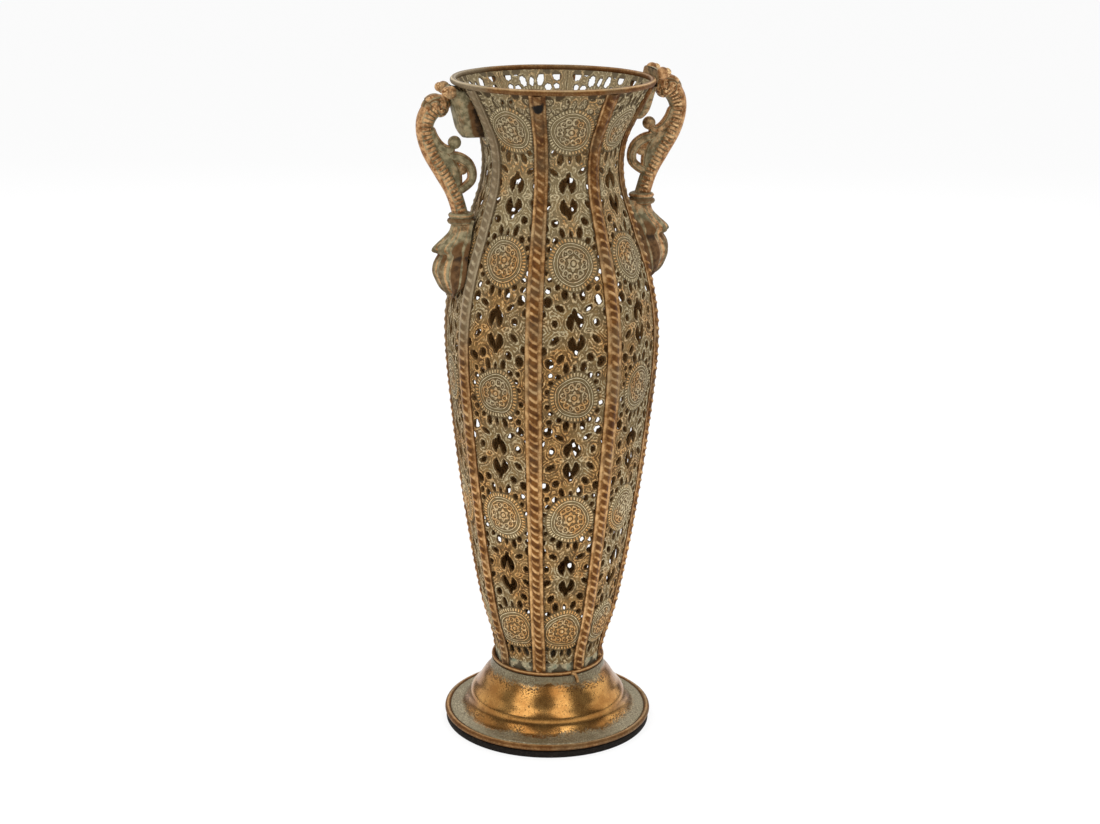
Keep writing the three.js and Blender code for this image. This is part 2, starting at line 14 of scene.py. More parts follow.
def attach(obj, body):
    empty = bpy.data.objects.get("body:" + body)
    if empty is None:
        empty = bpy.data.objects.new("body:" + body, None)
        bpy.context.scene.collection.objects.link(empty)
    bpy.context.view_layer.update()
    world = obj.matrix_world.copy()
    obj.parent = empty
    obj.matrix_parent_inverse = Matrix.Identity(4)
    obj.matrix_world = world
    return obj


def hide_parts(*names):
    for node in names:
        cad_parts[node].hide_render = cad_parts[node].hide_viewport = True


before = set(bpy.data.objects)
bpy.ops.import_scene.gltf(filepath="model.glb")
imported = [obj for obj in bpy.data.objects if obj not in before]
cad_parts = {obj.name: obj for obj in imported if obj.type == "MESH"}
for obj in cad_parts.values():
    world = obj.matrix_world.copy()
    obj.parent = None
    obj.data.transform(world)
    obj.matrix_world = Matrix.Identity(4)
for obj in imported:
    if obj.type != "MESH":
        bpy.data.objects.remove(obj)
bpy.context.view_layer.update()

MM = 0.001
METRE = 1000
TURN = 2 * math.pi

# Base pad, base hoop and spun foot. A hoop's highlights are lines of painted highlight, as the turn
# round the wire in degrees upwards from its outside, and how bright.
PAD_RADIUS = 68.5
PAD_HEIGHT = 4.7
# Rounding of the pad's edge, as distance in from its radius and from its nearer face
PAD_EDGE = [[1.2, 0], [0.4, 0.25], [0, 0.9]]
PAD_MIDDLE = 0.5
BASE_HOOP_RADIUS = 67.4
BASE_HOOP_HEIGHT = 7.0
BASE_WIRE_RADIUS = 2.0
BASE_HIGHLIGHTS = [(85, 0.5), (0, 0.25)]
FOOT_SHEET = 1.2
FLANGE_OUTER_RADIUS = 65.6
FLANGE_OUTER_HEIGHT = 8.9
ROLL_HEIGHT = 19.0
FOOT_TOP_HEIGHT = 43.4
# Outside of the foot from the flange to the neck, as radius and height
FOOT_LINE = np.array([
    [64.6, 9.0], [61, 9.3], [58.2, 9.7], [56, 10.9], [54.2, 12.7], [52.9, 14.8], [52.2, 16.8], [51.9, 18.6],
    [51.3, 20.5], [49.8, 22.6], [47.4, 25.2], [45.2, 28.6], [43, 32], [40.4, 35.2], [38.4, 37.8],
    [37.7, 40.6], [37.6, FOOT_TOP_HEIGHT],
])

# Collar hoop and mouth hoop
COLLAR_HOOP_RADIUS = 36.5
COLLAR_HOOP_HEIGHT = 45.0
COLLAR_WIRE_RADIUS = 1.3
COLLAR_HIGHLIGHTS = [(30, 0.8)]
# Loose end of the collar wire, as angle in degrees, radius and height
COLLAR_TAIL = np.array([[281, 37.4, 45.2], [284.6, 38.0, 44.2], [286.6, 38.5, 41.6], [287.4, 38.8, 38.6]])
COLLAR_TAIL_RADIUS = 1.1
RIM_HOOP_RADIUS = 62.4
RIM_HOOP_HEIGHT = 430.4
RIM_WIRE_RADIUS = 1.9
RIM_OUTER_RADIUS = 64.7
RIM_HIGHLIGHTS = [(52, 1.0), (-30, 0.1), (125, 0.4)]

# Body: outer face of the panels along a seam, as radius and height above their lower edge
PANEL_COUNT = 8
PANEL_ANGLE = TURN / PANEL_COUNT
BODY_BOTTOM = 43.7
SHEET = 0.8
SEAT_GAP = 0.3
FLATNESS = 0.5
ROUND_END = 0.16
SEAM_PROFILE = np.array([
    [34.4, 0], [36.4, 14.5], [45, 44.5], [55, 100.5], [63.4, 164.5], [68.2, 224.5],
    [63, 264.5], [53.4, 294.5], [44.2, 324.5], [44.6, 348.5], [53, 368.5], [61.6, 385.2],
])

# Pierced pattern of one panel, the same on both sides of its centre line: distance across from the line,
# along below the middle of a medallion, half width, half length, and lean of the length outwards in degrees
PATTERN_PITCH = 83.6
TOP_MEDALLION = 26.5
OPENINGS = [
    (0.0, -18.2, 0.9, 2.0, 0),
    (5.7, -19.3, 1.6, 3.1, -14),
    (10.3, -14.5, 1.7, 1.8, 0),
    (14.8, -10.1, 1.5, 1.5, 0),
    (17.0, -4.6, 1.2, 1.3, 0),
    (15.6, -15.3, 1.4, 1.5, 0),
    (17.0, -23.0, 2.4, 2.9, -20),
    (10.1, -26.0, 2.0, 2.4, 30),
    (13.4, -36.7, 1.6, 3.0, 50),
    (20.6, -30.5, 1.9, 2.3, 0),
    (0.0, 18.6, 0.9, 2.0, 0),
    (5.6, 18.6, 1.7, 3.0, 10),
    (9.8, 14.7, 1.6, 1.7, 0),
    (15.4, 9.7, 1.5, 1.4, 0),
    (17.8, 5.0, 1.4, 1.6, 0),
    (16.0, 16.0, 1.7, 1.7, 0),
    (16.6, 22.9, 2.5, 3.0, 20),
    (9.7, 26.9, 1.5, 2.6, -58),
    (13.6, 36.2, 1.7, 2.1, 0),
    (20.6, 30.5, 1.9, 2.3, 0),
]
# Heart above and below a medallion, measured along from its middle: a stem that widens, a round head, and a
# pointed tongue of sheet left in the head
STEM_FROM = 27.0
STEM_TO = 33.0
STEM_HALF_WIDTH = 0.9
STEM_SLOPE = 0.3
HEAD_AT = 35.0
HEAD_RADIUS = 5.5
HEAD_END = 40.0
TONGUE_FROM = 33.0
TONGUE_SLOPE = 0.36
# Edges of the sheet that stay closed
OPEN_TOP = 3.2
OPEN_BOTTOM = 8.5
SHEET_BORDER = 1.6
# Ornament: a medallion's radii from the outside in, the places of its scrolls by the turn from the line
# along the panel in degrees, and the eyes between two hearts
STAMPED_DEPTH = 0.4
RIDGE_PITCH = 1.75
MEDALLION_RADIUS = 16.0
MEDALLION_SWELL = 0.7
TICK_COUNT = 46
TICK_RING = 13.5
OUTER_RING = 12.6
INNER_RING = 10.6
SCROLL_RADIUS = 7.6
SCROLL_TURNS = (17, 43, 77)
SCROLL_CURL = 1.7
PETAL_COUNT = 6
PETAL_REACH = 4.15
PETAL_SWAY = 0.75
PETAL_GROOVE = 1.9
BOSS_RADIUS = 1.6
EYE_ACROSS = 8.0
EYE_RADIUS = 1.5

# Straps over the seams
STRAP_WIDTH = 10.0
STRAP_BEAD = 2.7
STRAP_EDGE = 0.6
STRAP_DOME = 2.3
FLUTE_PITCH = 5.4
FLUTE_SLOPE = 0.65
# Dark spot at the top of the strap in front, in metres
SCORCH_AT = (-0.0222, -0.0536, 0.4205)

# Handles: height of each casting's collar ring, from which its other heights are measured
LEFT_COLLAR = 345.5
RIGHT_COLLAR = 354.5


def srgb(red, green, blue):
    """Linear colour of a screen colour given from 0 to 255."""
    screen = np.array([red, green, blue]) / 255
    linear = np.where(screen <= 0.04045, screen / 12.92, ((screen + 0.055) / 1.055) ** 2.4)
    return (*linear.tolist(), 1.0)


def ease(value, low, high):
    """Smooth step from 0 at low to 1 at high, or down where low is above high: 3x^2 - 2x^3 of the clipped
    share between them."""
    share = np.clip((value - low) / (high - low), 0, 1)
    return share * share * (3 - 2 * share)


def bell(value, middle, width):
    """Bell curve: e to the minus square of the distance from the middle in widths."""
    return np.exp(-((value - middle) / width) ** 2)


def full_turn(count):
    """Angles of so many even steps once round."""
    return np.linspace(0, TURN, count, endpoint=False)


def about_axis(radius, angle, height):
    """Points at a radius from an upright axis, an angle round it and a height."""
    return np.stack(np.broadcast_arrays(radius * np.cos(angle), radius * np.sin(angle), height), -1)


def curve_through(knots, place):
    """Smooth curve through the knots, with the end knots doubled: a cubic from knot to knot whose slope at
    each is half the step between its neighbours. The place runs from 0 to 1."""
    knots = np.asarray(knots, float)
    spot = np.asarray(place, float) * (len(knots) - 1)
    span = np.clip(np.floor(spot).astype(int), 0, len(knots) - 2)
    share = (spot - span)[..., None]
    before = knots[np.maximum(span - 1, 0)]
    start = knots[span]
    end = knots[span + 1]
    after = knots[np.minimum(span + 2, len(knots) - 1)]
    leave = (end - before) / 2
    arrive = (after - start) / 2
    cubic = 2 * start - 2 * end + leave + arrive
    square = 3 * end - 3 * start - 2 * leave - arrive
    return ((cubic * share + square) * share + leave) * share + start


SEAM_PLACES = np.linspace(0, 1, 4001)
SEAM_POINTS = curve_through(SEAM_PROFILE, SEAM_PLACES)
SEAM_SLOPES = np.gradient(SEAM_POINTS, axis=0)
SEAM_SLOPES /= np.linalg.norm(SEAM_SLOPES, axis=1)[:, None]
SEAM_RUNS = np.concatenate([[0], np.cumsum(np.hypot(*np.diff(SEAM_POINTS, axis=0).T))])
SEAM_LENGTH = SEAM_RUNS[-1]
BODY_TOP = BODY_BOTTOM + SEAM_PROFILE[-1, 1]


def at_run(run, values):
    """Values of the seam curve, read at a distance along the sheet from its lower edge."""
    return np.interp(run, SEAM_RUNS, values)


def seam_radius(distance):
    """Radius of the seam curve at a distance along the sheet below its top edge."""
    return at_run(SEAM_LENGTH - distance, SEAM_POINTS[:, 0])


def distance_at_height(height):
    """Distance along the sheet below its top edge of a height above the floor."""
    run = np.interp(height - BODY_BOTTOM, SEAM_POINTS[:, 1], SEAM_RUNS)
    return SEAM_LENGTH - run


def flattened(place, angle):
    """Share of the seam radius at an angle: 1 at a seam, pulled half way to the chord between seams,
    except near the round ends of the body."""
    from_centre = angle - np.round(angle / PANEL_ANGLE) * PANEL_ANGLE
    chord = math.cos(PANEL_ANGLE / 2) / np.cos(from_centre)
    pull = FLATNESS * ease(place, 0, ROUND_END) * ease(1 - place, 0, ROUND_END)
    return 1 + pull * (chord - 1)


def body_point(distance, angle, offset=0.0):
    """Point of the body: seam curve at a distance below the top edge, turned to an angle, flattened
    between seams and moved out along the curve's normal by the offset."""
    distance, angle, offset = np.broadcast_arrays(distance, angle, offset)
    run = SEAM_LENGTH - distance
    radius = at_run(run, SEAM_POINTS[:, 0]) * flattened(at_run(run, SEAM_PLACES), angle)
    radius = radius + offset * at_run(run, SEAM_SLOPES[:, 1])
    height = at_run(run, SEAM_POINTS[:, 1]) - offset * at_run(run, SEAM_SLOPES[:, 0])
    return about_axis(radius, angle, height + BODY_BOTTOM)


def grid_quads(rows, columns, round_rows=False, round_columns=True):
    """Corner numbers of the quads of a grid; a round direction joins its last line to its first."""
    row = np.arange(rows if round_rows else rows - 1)[:, None]
    column = np.arange(columns if round_columns else columns - 1)[None, :]
    next_row = (row + 1) % rows
    next_column = (column + 1) % columns
    corners = [
        row * columns + column,
        row * columns + next_column,
        next_row * columns + next_column,
        next_row * columns + column,
    ]
    return np.stack(corners, -1).reshape(-1, 4)


class Shell:
    """A closed surface: its points, its faces as arrays of corner numbers, and values at its points."""

    def __init__(self, points, faces, **values):
        self.points = np.asarray(points, float).reshape(-1, 3)
        self.faces = [np.asarray(face) for face in faces]
        self.values = {name: np.broadcast_to(value, len(self.points)) for name, value in values.items()}
        if self.volume() < 0:
            self.faces = [face[:, ::-1] for face in self.faces]

    def volume(self):
        """Sum over the faces' fans of the signed volume of each triangle with the origin."""
        total = 0.0
        for face in self.faces:
            first = self.points[face[:, 0]]
            for corner in range(1, face.shape[1] - 1):
                second = self.points[face[:, corner]]
                third = self.points[face[:, corner + 1]]
                total += np.einsum("ij,ij->", first, np.cross(second, third)) / 6
        return total

    def turned(self, angle):
        """The same shell turned about the axis."""
        cosine, sine = math.cos(angle), math.sin(angle)
        x, y, z = self.points.T
        points = np.stack([x * cosine - y * sine, x * sine + y * cosine, z], -1)
        return Shell(points, self.faces, **self.values)


def joined(shells):
    """One shell that holds all the given ones side by side."""
    starts = np.cumsum([0] + [len(shell.points) for shell in shells[:-1]])
    points = np.concatenate([shell.points for shell in shells])
    faces = [face + start for shell, start in zip(shells, starts) for face in shell.faces]
    values = {name: np.concatenate([shell.values[name] for shell in shells]) for name in shells[0].values}
    return Shell(points, faces, **values)


def over_grid(points, values):
    """Values of a grid of points, with one for each point."""
    return {name: np.broadcast_to(value, points.shape[:2]).ravel() for name, value in values.items()}


def tube(points, **values):
    """Closed tube from a grid of points: each row is one ring, and a flat cap closes each end."""
    rows, columns = points.shape[:2]
    first = np.arange(columns)[None, ::-1]
    last = (rows - 1) * columns + np.arange(columns)[None, :]
    return Shell(points, [grid_quads(rows, columns), first, last], **over_grid(points, values))


def ring(points, **values):
    """Closed ring from a grid of points that joins up in both directions."""
    quads = grid_quads(*points.shape[:2], round_rows=True)
    return Shell(points, [quads], **over_grid(points, values))


def make_piece(name, shell, node, finish, crease=40):
    """Puts a shell into Blender in metres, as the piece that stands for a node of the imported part."""
    mesh = bpy.data.meshes.new(name)
    corners = np.concatenate([face.ravel() for face in shell.faces])
    sizes = np.concatenate([np.full(len(face), face.shape[1]) for face in shell.faces])
    mesh.vertices.add(len(shell.points))
    mesh.vertices.foreach_set("co", (shell.points * MM).astype(np.float32).ravel())
    mesh.loops.add(len(corners))
    mesh.loops.foreach_set("vertex_index", corners.astype(np.int32))
    mesh.polygons.add(len(sizes))
    mesh.polygons.foreach_set("loop_start", (np.cumsum(sizes) - sizes).astype(np.int32))
    mesh.polygons.foreach_set("use_smooth", np.ones(len(sizes), bool))
    for label, value in shell.values.items():
        attribute = mesh.attributes.new(label, "FLOAT", "POINT")
        attribute.data.foreach_set("value", value.astype(np.float32))
    mesh.update(calc_edges=True)
    mesh.set_sharp_from_angle(angle=math.radians(crease))
    mesh.materials.append(finish)
    piece = bpy.data.objects.new(name, mesh)
    bpy.context.scene.collection.objects.link(piece)
    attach(piece, "root")
    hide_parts(node)


class Value:
    """A socket of a finish; arithmetic on it adds Math nodes."""

    def __init__(self, finish, socket):
        self.finish = finish
        self.socket = socket

    def __add__(self, other):
        return self.finish.math("ADD", self, other)

    def __radd__(self, other):
        return self.finish.math("ADD", other, self)

    def __sub__(self, other):
        return self.finish.math("SUBTRACT", self, other)

    def __rsub__(self, other):
        return self.finish.math("SUBTRACT", other, self)

    def __mul__(self, other):
        return self.finish.math("MULTIPLY", self, other)

    def __rmul__(self, other):
        return self.finish.math("MULTIPLY", other, self)

    def __pow__(self, other):
        return self.finish.math("POWER", self, other)

    def __abs__(self):
        return self.finish.math("ABSOLUTE", self)

    def least(self, other):
        return self.finish.math("MINIMUM", self, other)

    def greatest(self, other):
        return self.finish.math("MAXIMUM", self, other)

    def wave(self):
        """Cosine of the value, from 0 to 1."""
        return self.finish.math("COSINE", self) * 0.5 + 0.5

    def ease(self, low, high):
        """Smooth step from 0 at low to 1 at high, or down where low is above high."""
        ends = {"Value": self, "From Min": low, "From Max": high}
        return self.finish.node("ShaderNodeMapRange", {"interpolation_type": "SMOOTHSTEP"}, ends)


class Finish:
    """A material made of nodes round one surface shader."""

    def __init__(self, name):
        self.material = bpy.data.materials.new(name)
        self.material.use_nodes = True
        self.tree = self.material.node_tree
        self.shader = self.tree.nodes["Principled BSDF"]

    def node(self, kind, settings=None, inputs=None, output=0):
        """Adds a node: its settings first, then the values or links of its sockets; gives one output."""
        node = self.tree.nodes.new(kind)
        for name, setting in (settings or {}).items():
            setattr(node, name, setting)
        for name, value in (inputs or {}).items():
            self.plug(node.inputs[name], value)
        return Value(self, node.outputs[output])

    def plug(self, socket, value):
        """Links a socket to a value of this finish, or sets it to a plain one."""
        if isinstance(value, Value):
            self.tree.links.new(value.socket, socket)
        else:
            socket.default_value = value

    def math(self, operation, *values):
        return self.node("ShaderNodeMath", {"operation": operation}, dict(enumerate(values)))

    def mix(self, share, first, second):
        """Colour from first at share 0 to second at share 1."""
        return self.node("ShaderNodeMix", {"data_type": "RGBA"}, {0: share, 6: first, 7: second}, 2)

    def gain(self, colour, factor):
        """Colour times a factor."""
        return self.node("ShaderNodeVectorMath", {"operation": "SCALE"}, {0: colour, "Scale": factor})

    def at(self, name):
        """A value that the mesh carries at its points."""
        return self.node("ShaderNodeAttribute", {"attribute_name": name}, output="Fac")

    def place(self):
        """Place on the object, in metres."""
        return self.node("ShaderNodeTexCoord", output="Object")

    def axis(self, name):
        """Place along one axis in millimetres; Z is the height above the floor."""
        return self.node("ShaderNodeSeparateXYZ", inputs={"Vector": self.place()}, output=name) * METRE

    def mottle(self, size, detail=3.0, rough=0.55):
        """Cloudy noise from 0 to 1 whose patches are about the given size in millimetres."""
        inputs = {"Vector": self.place(), "Scale": METRE / size, "Detail": detail, "Roughness": rough}
        return self.node("ShaderNodeTexNoise", inputs=inputs)

    def bump(self, height, depth):
        """Normal from a height of 0 to 1 that stands for a depth in millimetres."""
        inputs = {"Height": height, "Distance": depth * MM, "Strength": 1.0}
        return self.node("ShaderNodeBump", inputs=inputs, output="Normal")

    def shade(self, **sockets):
        """Fills sockets of the surface shader and gives the material."""
        for name, value in sockets.items():
            self.plug(self.shader.inputs[name.replace("_", " ")], value)
        return self.material


def medallion_relief(across, along, radius, angle):
    """Relief of a medallion from 0 to 1: a ring of ticks, two thin rings, six pairs of scrolls and a
    six-petalled flower round a boss. The angle is measured from the line along the panel."""
    tick_ring = radius.ease(TICK_RING - 0.1, TICK_RING + 0.2)
    tick_ring = tick_ring * radius.ease(MEDALLION_RADIUS, MEDALLION_RADIUS - 0.5)
    ticks = (angle * TICK_COUNT).wave().ease(0.2, 0.7) * tick_ring * 0.9
    lines = abs(radius - OUTER_RING).ease(0.7, 0.1).greatest(abs(radius - INNER_RING).ease(0.7, 0.1)) * 0.7
    reach = (angle * PETAL_COUNT).wave() * (2 * PETAL_SWAY) + (PETAL_REACH - PETAL_SWAY)
    petals = (reach - radius).ease(-0.4, 0.7) * abs(radius - PETAL_GROOVE).ease(0.1, 0.6) * 0.9
    boss = radius.ease(BOSS_RADIUS, BOSS_RADIUS - 0.6)
    relief = ticks.greatest(lines).greatest(petals).greatest(boss)
    for turn in np.radians(SCROLL_TURNS):
        centre = SCROLL_RADIUS * math.sin(turn)
        middle = SCROLL_RADIUS * math.cos(turn)
        gap = ((across - centre) ** 2 + (along - middle) ** 2) ** 0.5
        scroll = abs(gap - SCROLL_CURL).ease(1.0, 0.1).greatest(gap.ease(0.7, 0.2))
        relief = relief.greatest(scroll * radius.ease(INNER_RING - 0.1, INNER_RING - 0.7))
    return relief


def lower_half(finish):
    """Share of the lower half of the body, where painted light makes the colour brighter and the
    copper's wash thinner; it fades out at the foot.
    """
    height = finish.axis("Z")
    return height.ease(235, 165) * height.ease(20, 100)


def washed_sheet():
    """Stamped sheet: thin ridges follow every opening at an even pitch, and a medallion has a relief of its
    own. The ground is brown, with a grey-green wash on the medallions, at the neck and towards +X. The
    ridges are beige under the wash and copper or gold where they are rubbed, with painted glints on the
    highest. Dark lines run round the medallions and their ornament, painted shade darkens the edges of the
    openings and the sheet along the straps, painted light brightens the lower half, and the inside is brown
    below the mouth."""
    finish = Finish("washed_sheet")
    across = abs(finish.at("across"))
    distance = finish.at("along")
    gap = finish.at("gap")
    along = finish.math("PINGPONG", distance - TOP_MEDALLION, PATTERN_PITCH / 2)
    radius = (across * across + along * along) ** 0.5
    angle = finish.math("ARCTAN2", across, along)
    cloud = finish.mottle(26, 2.0)
    patch = finish.mottle(6, 3.0)
    grain = finish.mottle(1.5, 3.0, 0.6)
    stray = gap + (patch - 0.5) * 2.0 + (grain - 0.5) * 0.5
    ridges = ((stray - 0.9) * (TURN / RIDGE_PITCH)).wave() ** 2.0
    eye = ((across - EYE_ACROSS) ** 2 * 0.3 + (along - PATTERN_PITCH / 2) ** 2) ** 0.5
    eyes = abs(eye - EYE_RADIUS).ease(0.5, 0.1).greatest(eye.ease(0.6, 0.2))
    worn = finish.mottle(3.2, 2.0).ease(0.34, 0.6)
    field = (ridges * (worn * 0.75 + 0.25)).greatest(eyes * 0.9)
    bends = ((across, patch), (along, worn), (radius, patch))
    bent = [value + (noise - 0.5) * 0.9 for value, noise in bends]
    medallion = medallion_relief(*bent, angle)
    share = radius.ease(MEDALLION_RADIUS + 0.8, MEDALLION_RADIUS + 0.2)
    middle = radius.ease(INNER_RING + 0.2, INNER_RING - 0.4)
    border = radius.ease(TICK_RING - 0.5, TICK_RING + 0.1) * share
    relief = (field + (medallion - field) * share).greatest(0).least(1)
    neck = distance.ease(150, 60)
    right = finish.axis("X").ease(20, 55)
    green = cloud.ease(0.36, 0.62) * 0.8 + (share - middle * 1.2) * 0.3 - border * 0.35
    green = (green + neck * 0.35 + right * 0.4).least(1)
    ground = finish.mix(patch.ease(0.35, 0.7), srgb(84, 58, 28), srgb(132, 101, 57))
    ground = finish.mix(green * 0.55, ground, srgb(116, 103, 72))
    ground = finish.mix(share * 0.6, ground, srgb(108, 93, 63))
    ground = finish.mix(neck * 0.35, ground, srgb(138, 125, 95))
    rubbed = finish.mix(grain.ease(0.3, 0.7), srgb(164, 114, 60), srgb(216, 174, 114))
    washed = finish.mix(grain.ease(0.25, 0.75), srgb(152, 139, 107), srgb(210, 192, 154))
    ridge = finish.mix((green * 0.8 + (patch - 0.5) * 1.2).ease(0.1, 0.75), rubbed, washed)
    colour = finish.mix((relief + (grain - 0.5) * 0.3).ease(0.1, 0.75), ground, ridge)
    outline = relief.ease(0.04, 0.2) * relief.ease(0.65, 0.4) * share
    colour = finish.mix(outline * 0.9, colour, srgb(58, 38, 17))
    colour = finish.mix(middle * 0.25, colour, srgb(78, 54, 30))
    glint = (relief + (grain - 0.5) * 1.6).ease(1.05, 1.3)
    colour = finish.mix(glint * 0.7, colour, srgb(232, 212, 170))
    # Painted light: the lower half of the body is made brighter
    colour = finish.gain(colour, lower_half(finish) * (share * 0.2 + 0.15) + 1)
    hem = distance.ease(SEAM_LENGTH - 9, SEAM_LENGTH - 7.5)
    plain = finish.mix(patch.ease(0.45, 0.7), srgb(178, 166, 134), srgb(116, 128, 110))
    colour = finish.mix(hem * 0.85, colour, plain)
    inner = finish.at("inner")
    # Painted shade at the edges of the openings and on the sheet beside the straps, with a dark ring round
    # each medallion
    moat = abs(radius - MEDALLION_RADIUS - 0.8).ease(0.7, 0.2) * 0.6
    seam = finish.at("seam").ease(6.2, 5.2) * (1 - inner) * 0.8
    edge = gap.ease(0.45, 0.0).greatest(seam).greatest(moat)
    colour = finish.mix(edge * 0.8, colour, srgb(48, 32, 14))
    colour = finish.mix(inner * distance.ease(60, 20) * 0.2, colour, srgb(164, 150, 120))
    colour = finish.mix(inner * distance.ease(24, 70) * 0.94, colour, srgb(132, 97, 54))
    return finish.shade(
        Base_Color=colour,
        Roughness=0.62 - relief * 0.2 + grain * 0.08,
        Metallic=relief * 0.3 + 0.1,
        Specular_IOR_Level=0.15,
        Normal=finish.bump(relief + grain * 0.25, 0.4),
    )


def rubbed_copper(name, blotch):
    """Rope-embossed strip or plain wire: copper on the high places, brown in the grooves, some wash, and
    painted glints on the highest places. High up beside the left handle it is paler, as wash and as
    painted highlight together. The blotch tells how far the tint changes from place to place."""
    finish = Finish(name)
    relief = finish.at("relief")
    cloud = finish.mottle(22, 2.0)
    patch = (finish.mottle(5, 3.0) - 0.5) * blotch + 0.5
    grain = finish.mottle(1.2, 3.0, 0.6)
    lower = lower_half(finish)
    # Pale wash beside the left handle, which also stands for painted highlight on the rim there
    pale = finish.axis("X").ease(-24, -40) * finish.axis("Y").ease(-46, -28)
    pale = pale * finish.axis("Z").ease(240, 330)
    wash = (cloud.ease(0.46, 0.66) * (0.6 - lower * 0.35) + pale).least(1)
    high = finish.mix(patch.ease(0.3, 0.7), srgb(146, 102, 54), srgb(206, 166, 114))
    high = finish.mix(wash * 0.75, high, srgb(148, 134, 104))
    high = finish.mix(pale * 0.7, high, srgb(176, 162, 134))
    # Painted highlight on the highest places
    high = finish.mix((relief + (grain - 0.5) * 0.3).ease(0.95, 1.15) * 0.75, high, srgb(232, 204, 160))
    low = finish.mix(patch.ease(0.3, 0.7), srgb(72, 41, 13), srgb(112, 70, 27))
    low = finish.mix(wash * 0.5, low, srgb(106, 90, 62))
    low = finish.mix(pale * 0.6, low, srgb(126, 112, 88))
    ends = {0: finish.place(), 1: SCORCH_AT}
    scorch = finish.node("ShaderNodeVectorMath", {"operation": "DISTANCE"}, ends, "Value") * METRE
    scorch = scorch + (patch - 0.5) * 5
    share = (relief + (grain - 0.5) * 0.7 + (patch - 0.5) * 0.5).ease(0.15, 0.85)
    # Painted light: the lower half of the body is made brighter
    metal = finish.gain(finish.mix(share, low, high), lower * 0.3 + 1)
    return finish.shade(
        Base_Color=finish.mix(scorch.ease(5, 3), metal, srgb(24, 19, 14)),
        Roughness=0.52 - share * 0.14 + grain * 0.1,
        Metallic=share * 0.35 + 0.25,
        Specular_IOR_Level=0.15,
        Normal=finish.bump(grain + patch * 0.6, 0.22),
    )


def spun_bronze():
    """Spun foot: glossy bronze with dark specks on the bell and cove, verdigris on the neck and the flange,
    and a dark line under the roll at the bell's edge. The borders between them are ragged."""
    finish = Finish("spun_bronze")
    height = finish.axis("Z")
    cloud = finish.mottle(16, 3.0)
    grain = finish.mottle(1.5, 3.0, 0.65)
    speck = finish.mottle(0.9, 2.0, 0.6)
    tint = (cloud * 0.7 + grain * 0.3).ease(0.35, 0.65)
    bronze = finish.mix(tint, srgb(150, 102, 50), srgb(202, 152, 86))
    ragged = (cloud - 0.5) * 9 + (grain - 0.5) * 6
    neck = (height + ragged).ease(35.5, 39.5)
    level = {0: finish.place(), 1: (METRE, METRE, 0)}
    flat = finish.node("ShaderNodeVectorMath", {"operation": "MULTIPLY"}, level)
    radius = finish.node("ShaderNodeVectorMath", {"operation": "LENGTH"}, {0: flat}, "Value")
    flange = (radius + ragged * 0.9).ease(55.0, 59.5)
    near = (height + ragged).ease(31, 36).greatest((height + ragged).ease(16, 12)) * 0.1
    dots = (speck * 0.6 + grain * 0.4 + near).ease(0.55, 0.63) * cloud.ease(0.25, 0.55)
    bronze = finish.mix(dots * 0.85, bronze, srgb(66, 40, 20))
    mottled = (grain * 0.6 + cloud * 0.4).ease(0.35, 0.65)
    wash = finish.mix(mottled, srgb(116, 110, 84), srgb(184, 176, 146))
    wash = finish.mix(neck, wash, srgb(160, 152, 122))
    wash = finish.mix(neck * (1 - mottled), wash, srgb(108, 96, 70))
    washed = neck.greatest(flange * 0.92)
    shadow = abs(height - ROLL_HEIGHT + 3.2).ease(2.4, 0.4)
    colour = finish.mix(washed, bronze, wash)
    colour = finish.mix(dots * washed * 0.6, colour, srgb(84, 56, 32))
    colour = finish.mix(shadow * 0.25, colour, srgb(70, 44, 22))
    return finish.shade(
        Base_Color=colour,
        Roughness=0.22 + washed * 0.14 + dots * 0.25,
        Metallic=0.95 - washed * 0.3,
        Normal=finish.bump(grain + speck * 0.5, 0.035),
    )


def cast_bronze():
    """Casting: high relief rubbed to copper and gold, with painted light that brightens the right handle a
    little and painted glints on the highest places; middling places grey-green, hollows dark brown, and
    painted shade, near black, where the relief falls below zero."""
    finish = Finish("cast_bronze")
    relief = finish.at("relief")
    cloud = finish.mottle(14, 3.0)
    patch = finish.mottle(3.6, 3.0)
    grain = finish.mottle(1.2, 2.0, 0.5)
    wash = finish.mix(patch.ease(0.35, 0.65), srgb(98, 90, 65), srgb(150, 138, 106))
    metal = finish.mix((patch + (grain - 0.5) * 0.5).ease(0.3, 0.7), srgb(124, 80, 44), srgb(204, 160, 112))
    # Painted light: the handle at +X is made a little brighter
    painted_light_right = finish.axis("X").ease(0, 60) * 0.12
    share = (relief + painted_light_right + (cloud - 0.5) * 0.45 + (grain - 0.5) * 0.3).ease(0.38, 0.66)
    colour = finish.mix(share, wash, metal)
    stain = (relief + (grain - 0.5) * 0.15).ease(0.24, 0.06).greatest(cloud.ease(0.6, 0.74) * 0.45)
    colour = finish.mix(stain * 0.85, colour, srgb(94, 58, 24))
    # Painted shade, near black, where the relief falls below zero, mostly on the lug's back and the leaf's
    # sides
    colour = finish.mix((relief + (patch - 0.5) * 0.8).ease(-0.05, -0.4) * 0.9, colour, srgb(44, 33, 22))
    glint = (relief + painted_light_right + (grain - 0.5) * 0.9).ease(0.95, 1.2)
    colour = finish.mix(glint, colour, srgb(230, 194, 142))
    return finish.shade(
        Base_Color=colour,
        Roughness=0.56 - share * 0.16 + grain * 0.1,
        Metallic=share * 0.35 + 0.15,
        Specular_IOR_Level=0.15,
        Normal=finish.bump(patch + grain * 0.6, 0.35),
    )


